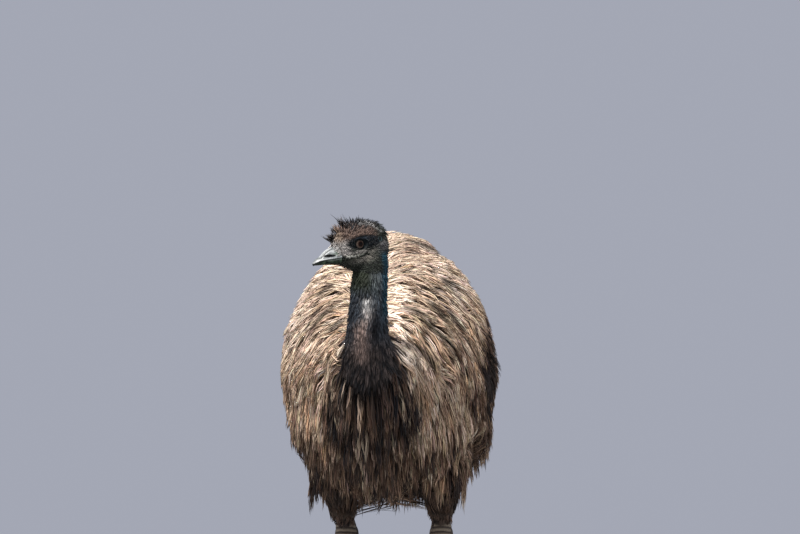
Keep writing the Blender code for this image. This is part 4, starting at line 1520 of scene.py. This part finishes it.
# Rows of the lids: angle beyond the opening, in degrees, and height over the eyeball.
LID_ROWS = [
    (0.0, 0.00015), (0.0, 0.0007), (1.2, 0.00125), (3.5, 0.00150), (6.5, 0.00145), (9.0, 0.00105),
    (11.5, 0.00150), (15.0, 0.00175), (18.5, 0.00130), (21.5, 0.00165), (26.0, 0.00170),
    (31.0, 0.0010), (37.0, -0.0004),
]


def eye_axes(side):
    """The centre of an eyeball, and its line of sight, way ahead and way up."""
    centre = from_head(EYE_PLACE * (side, 1, 1))
    sight = unit(HEAD_AXES[0] * side - HEAD_AXES[1] * GAZE_AHEAD)
    up = unit(HEAD_AXES[2] - (HEAD_AXES[2] @ sight) * sight)
    ahead = unit(-HEAD_AXES[1] + (HEAD_AXES[1] @ sight) * sight)
    return centre, sight, ahead, up


def ball_points(centre, sight, ahead, up, angle, turn, radius):
    """Points on a ball by angle from its line of sight, turn about it and radius."""
    across = ahead * np.cos(turn)[..., None] + up * np.sin(turn)[..., None]
    way = sight * np.cos(angle)[..., None] + across * np.sin(angle)[..., None]
    return centre + way * np.asarray(radius)[..., None]


def grid_faces(rows, columns, closed=True):
    """Triangles over a grid of points, whose columns may run round."""
    faces = []
    last = columns if closed else columns - 1
    for row in range(rows - 1):
        for column in range(last):
            after = (column + 1) % columns
            a, b = row * columns + column, row * columns + after
            c, d = a + columns, b + columns
            faces += [(a, b, d), (a, d, c)]
    return np.array(faces)


def facing_out(points, faces, centre):
    """The faces, turned where needed so that most look away from a centre."""
    corners = points[faces]
    normal = np.cross(corners[:, 1] - corners[:, 0], corners[:, 2] - corners[:, 0])
    if (normal * (corners.mean(axis=1) - centre)).sum() < 0:
        return faces[:, ::-1]
    return faces


def make_eye(name, side, material):
    centre, sight, ahead, up = eye_axes(side)
    rows, columns = 40, 64
    angle = np.linspace(0.001, math.pi - 0.001, rows)[:, None] * np.ones((1, columns))
    turn = np.linspace(0, 2 * math.pi, columns, endpoint=False)[None] * np.ones((rows, 1))
    cornea = 0.0009 * smooth(math.radians(40), 0, angle)
    points = ball_points(centre, sight, ahead, up, angle, turn, EYE_RADIUS + cornea)
    points = points.reshape(-1, 3)
    faces = facing_out(points, grid_faces(rows, columns), centre)
    mesh = new_mesh(f"{name}_eye", points, faces)
    paint(mesh, "gaze", angle.ravel())
    # A painted shadow of the brow darkens the upper part of the eye.
    paint(mesh, "shade", (1 - 0.40 * np.sin(turn)).ravel())
    show(f"{name}_eye", mesh, material, [f"eye_{name}"])


def make_lids(name, side, material):
    """The rims and folds of both lids, as one ring round the eyeball."""
    centre, sight, ahead, up = eye_axes(side)
    columns = 96
    turn = np.linspace(0, 2 * math.pi, columns, endpoint=False)
    high = np.where(np.sin(turn) > 0, LID_HIGH, LID_LOW)
    opening = 1 / np.sqrt((np.cos(turn) / LID_WIDE) ** 2 + (np.sin(turn) / high) ** 2)
    rows = []
    for beyond, height in LID_ROWS:
        angle = opening + math.radians(beyond)
        crinkle = 0.00018 * np.sin(turn * 17 + beyond) * min(1, beyond / 8)
        brow = 0.0012 * np.clip(np.sin(turn), 0, 1) * min(1, beyond / 10)
        radius = EYE_RADIUS + 0.0003 + height + crinkle + brow
        rows.append(ball_points(centre, sight, ahead, up, angle, turn, radius))
    points = np.concatenate(rows)
    faces = facing_out(points, grid_faces(len(LID_ROWS), columns), centre)
    mesh = new_mesh(f"{name}_lids", points, faces)
    row = np.repeat(np.arange(len(LID_ROWS)), columns)
    tone = mix(LID_DARK, LID_BLUE, np.clip(0.35 + 0.35 * np.sin(row * 1.3), 0, 1))
    paint(mesh, "tint", tone * 0.55)
    show(f"{name}_lids", mesh, material)


LID_DARK, LID_BLUE = srgb(9, 11, 12), srgb(20, 27, 30)
# The ear opening, as radius and height of each ring.
EAR_ROWS = [
    (0.0064, -0.0012), (0.0060, 0.0002), (0.0052, 0.0009), (0.0042, 0.0008),
    (0.0034, 0.0000), (0.0030, -0.0014), (0.0024, -0.0026), (0.0004, -0.0032),
]


# The lips at the corner of the mouth: places across the gape and heights over the skin.
GAPE_ROWS = [
    (-0.0042, -0.0010), (-0.0030, 0.0010), (-0.0018, 0.0022), (-0.0008, 0.0016), (-0.0002, -0.0004),
    (0.0004, 0.0018), (0.0012, 0.0030), (0.0022, 0.0024), (0.0034, -0.0008),
]
GAPE_START, GAPE_END = 0.056, 0.119
LIP_DARK, LIP_PALE = srgb(38, 42, 38), srgb(136, 135, 128)


def make_gape(name, side, surface, material):
    """The two lips that run from the bill back below the eye, with the gape between them painted near black
    as shade.
    """
    columns = 40
    share = np.linspace(0, 1, columns)
    back = GAPE_START + (GAPE_END - GAPE_START) * share
    taper = smooth(1.0, 0.80, share)
    rows = []
    for offset, height in GAPE_ROWS:
        up = gape_height(back) + offset * (0.35 + 0.65 * taper)
        wanted = np.stack((np.full(columns, side * 0.040), back, up), 1)
        places = wanted.copy()
        for _ in range(4):
            near, normal = surface.nearest(from_head(places))
            places[:, 1:] += (wanted - in_head(near))[:, 1:]
        rows.append(near + normal * (height * taper - 0.0012 * (1 - taper))[:, None])
    points = np.concatenate(rows)
    centre = from_head((0, 0.09, 0))
    faces = facing_out(points, grid_faces(len(GAPE_ROWS), columns, False), centre)
    mesh = new_mesh(f"{name}_gape", points, faces)
    row = np.repeat(np.arange(len(GAPE_ROWS)), columns)
    along = np.tile(share, len(GAPE_ROWS))
    upper = smooth(4.5, 5.5, row) * smooth(0.95, 0.35, along)
    colour = mix(LIP_DARK, LIP_PALE, upper * 0.85)
    # Painted shade, near black, in the gape between the lips.
    paint(mesh, "tint", mix(colour, LID_DARK * 0.4, bump(4, 0.8, row)))
    show(f"{name}_gape", mesh, material)


def make_ear(name, side, surface, material):
    place, normal = surface.nearest(from_head([EAR_PLACE * (side, 1, 1)]))
    centre, out = place[0], normal[0]
    along = unit(np.cross(out, HEAD_AXES[2]))
    up = np.cross(along, out)
    columns = 40
    turn = np.linspace(0, 2 * math.pi, columns, endpoint=False)
    rows = []
    for radius, height in EAR_ROWS:
        wobble = 1 + 0.06 * np.sin(2 * turn + 1) + 0.04 * np.sin(5 * turn)
        ring = along * np.cos(turn)[:, None] + up * 1.15 * np.sin(turn)[:, None]
        rows.append(centre + ring * (radius * wobble)[:, None] + out * (height + 0.0006))
    points = np.concatenate(rows)
    faces = facing_out(points, grid_faces(len(EAR_ROWS), columns), centre - out * 0.01)
    mesh = new_mesh(f"{name}_ear", points, faces)
    row = np.repeat(np.arange(len(EAR_ROWS)), columns)
    # Painted shade inside the ear: the rings darken down into the opening.
    paint(mesh, "tint", mix(EAR_BLUE, LID_DARK, smooth(3, 5, row)))
    show(f"{name}_ear", mesh, material, [f"ear_{name}"])


EAR_BLUE = srgb(70, 86, 88)
CLAW_DARK, CLAW_PALE = srgb(38, 34, 32), srgb(92, 84, 76)


def make_claws(name, material):
    for toe in TOES:
        node = f"claw_{toe}_{name}"
        mesh = remeshed(node, [rounded(node, 3)], CLAW_VOXEL)
        relax(mesh, 2)
        points = points_of(mesh)
        points[:, 2] = np.maximum(points[:, 2], 0.0002)
        put_points(mesh, points)
        tone = 0.4 + 0.4 * ripple(points * (1, 1, 4), 0.012, 71)
        paint(mesh, "tint", mix(CLAW_DARK, CLAW_PALE, np.clip(tone, 0, 1)))
        show(f"{toe}_claw_{name}", mesh, material, [node])


def make_eye_material():
    """A dark pupil and a red-brown iris, greyer at its rim and darker above in a painted shadow of the
    brow, under a clear coat.
    """
    material, tree, shader = new_material("eye", 0.5, 0.0)
    shader.inputs["Coat Weight"].default_value = 0.12
    shader.inputs["Coat Roughness"].default_value = 0.04
    gaze = add_node(tree, "ShaderNodeAttribute", attribute_name="gaze")
    ramp = add_node(tree, "ShaderNodeValToRGB")
    stops = [
        (0.0, (0.004, 0.003, 0.003)), (PUPIL - 0.02, (0.004, 0.003, 0.003)),
        (PUPIL + 0.03, srgb(20, 9, 7)), (PUPIL + 0.16, srgb(30, 16, 12)),
        (IRIS - 0.26, srgb(74, 62, 55)), (IRIS - 0.04, srgb(64, 57, 52)),
        (IRIS + 0.03, srgb(20, 16, 16)), (1.0, srgb(20, 16, 16)),
    ]
    while len(ramp.color_ramp.elements) < len(stops):
        ramp.color_ramp.elements.new(1.0)
    for element, (place, colour) in zip(ramp.color_ramp.elements, stops):
        element.position = place
        element.color = (*colour, 1)
    tree.links.new(gaze.outputs["Fac"], ramp.inputs["Fac"])
    shade = add_node(tree, "ShaderNodeAttribute", attribute_name="shade")
    tone = remap(tree, noise(tree, 900.0), 0.3, 0.7, 0.75, 1.25)
    colour = multiplied(tree, ramp.outputs["Color"], tone)
    colour = multiplied(tree, colour, shade.outputs["Fac"])
    tree.links.new(colour, shader.inputs["Base Color"])
    return material


def bare_colour(points):
    """The bare skin round the eye: nearly black, mottled, with a greyer fold under the brow."""
    _, back, up = in_head(points).T
    mottle = 0.35 + 0.30 * ripple(points, 0.011, 44) + 0.25 * ripple(points, 0.004, 45)
    colour = mix(LID_DARK, LID_BLUE, np.clip(mottle, 0, 1))
    fold = bump(0.0345, 0.0022, up) * smooth(0.086, 0.096, back) * smooth(0.150, 0.130, back)
    return mix(colour, SLATE * 1.1, fold * 0.8)


def paint_skin(skin):
    """The skin wears the markings of its coat, darkened as painted shade between the strands, and its own
    colours where it is bare.
    """
    points = points_of(skin)
    up_neck, _ = NECK.place(points)
    # Painted shade under the coat: the body's skin at 0.28 of its plumage colour, the neck's at 0.7 and the
    # face's at 0.6.
    colour = body_colour(points) * 0.28
    colour = mix(colour, neck_colour(points) * 0.7, smooth(1.4, 1.8, up_neck))
    on_head = smooth(0.962, 0.972, points[:, 2]) * (up_neck > 3)
    face = mix(head_colour(points) * 0.6, bare_colour(points), bareness(points))
    colour = mix(colour, face, on_head)
    leg = smooth(0.452, 0.440, points[:, 2])
    for name, side in SIDES.items():
        own = leg * (side * points[:, 0] > 0)
        colour = mix(colour, leg_colour(points, name), own)
    paint(skin, "tint", colour)


def main():
    make_camera()
    make_studio()
    coat = painted_material("coat", 0.60, 0.25, 900.0, 0.12, 0)
    fine_coat = painted_material("fine_coat", 0.55, 0.30, 2500.0, 0.12, 0)
    skin_look = painted_material("skin", 0.65, 0.10, 500.0, 0.15, 0.0004)
    bare_look = painted_material("bare_skin", 0.60, 0.10, 1800.0, 0.12, 0.0002)
    horn = painted_material("horn", 0.38, 0.45, 700.0, 0.08, 0.0001)
    dull_horn = painted_material("dull_horn", 0.55, 0.12, 700.0, 0.08, 0.0001)
    eye_look = make_eye_material()
    body = body_form()
    head = head_form()
    legs = [leg_form(side) for side in SIDES]
    body_surface, head_surface = Surface(body), Surface(head)
    make_body_coat(body_surface, coat, RANDOM)
    make_thigh_coat(body_surface, coat, RANDOM)
    make_neck_coat((body_surface, head_surface), fine_coat, RANDOM)
    make_head_coat(head_surface, fine_coat, RANDOM)
    bill_surface = make_bill(horn, dull_horn)
    make_bill_bristles(bill_surface, fine_coat, RANDOM)
    for name, side in SIDES.items():
        make_eye(name, side, eye_look)
        make_gape(name, side, head_surface, bare_look)
        make_lids(name, side, bare_look)
        make_ear(name, side, head_surface, bare_look)
        make_claws(name, horn)
    skin = united([body, head, *legs])
    paint_skin(skin)
    nodes = BODY_NODES + THIGH_NODES + NECK_NODES + ["head"]
    nodes += [f"{node}_{side}" for side in SIDES for node in LEG_NODES]
    show("skin", skin, skin_look, nodes)
    print("SKIN", len(triangles_of(skin)))


main()
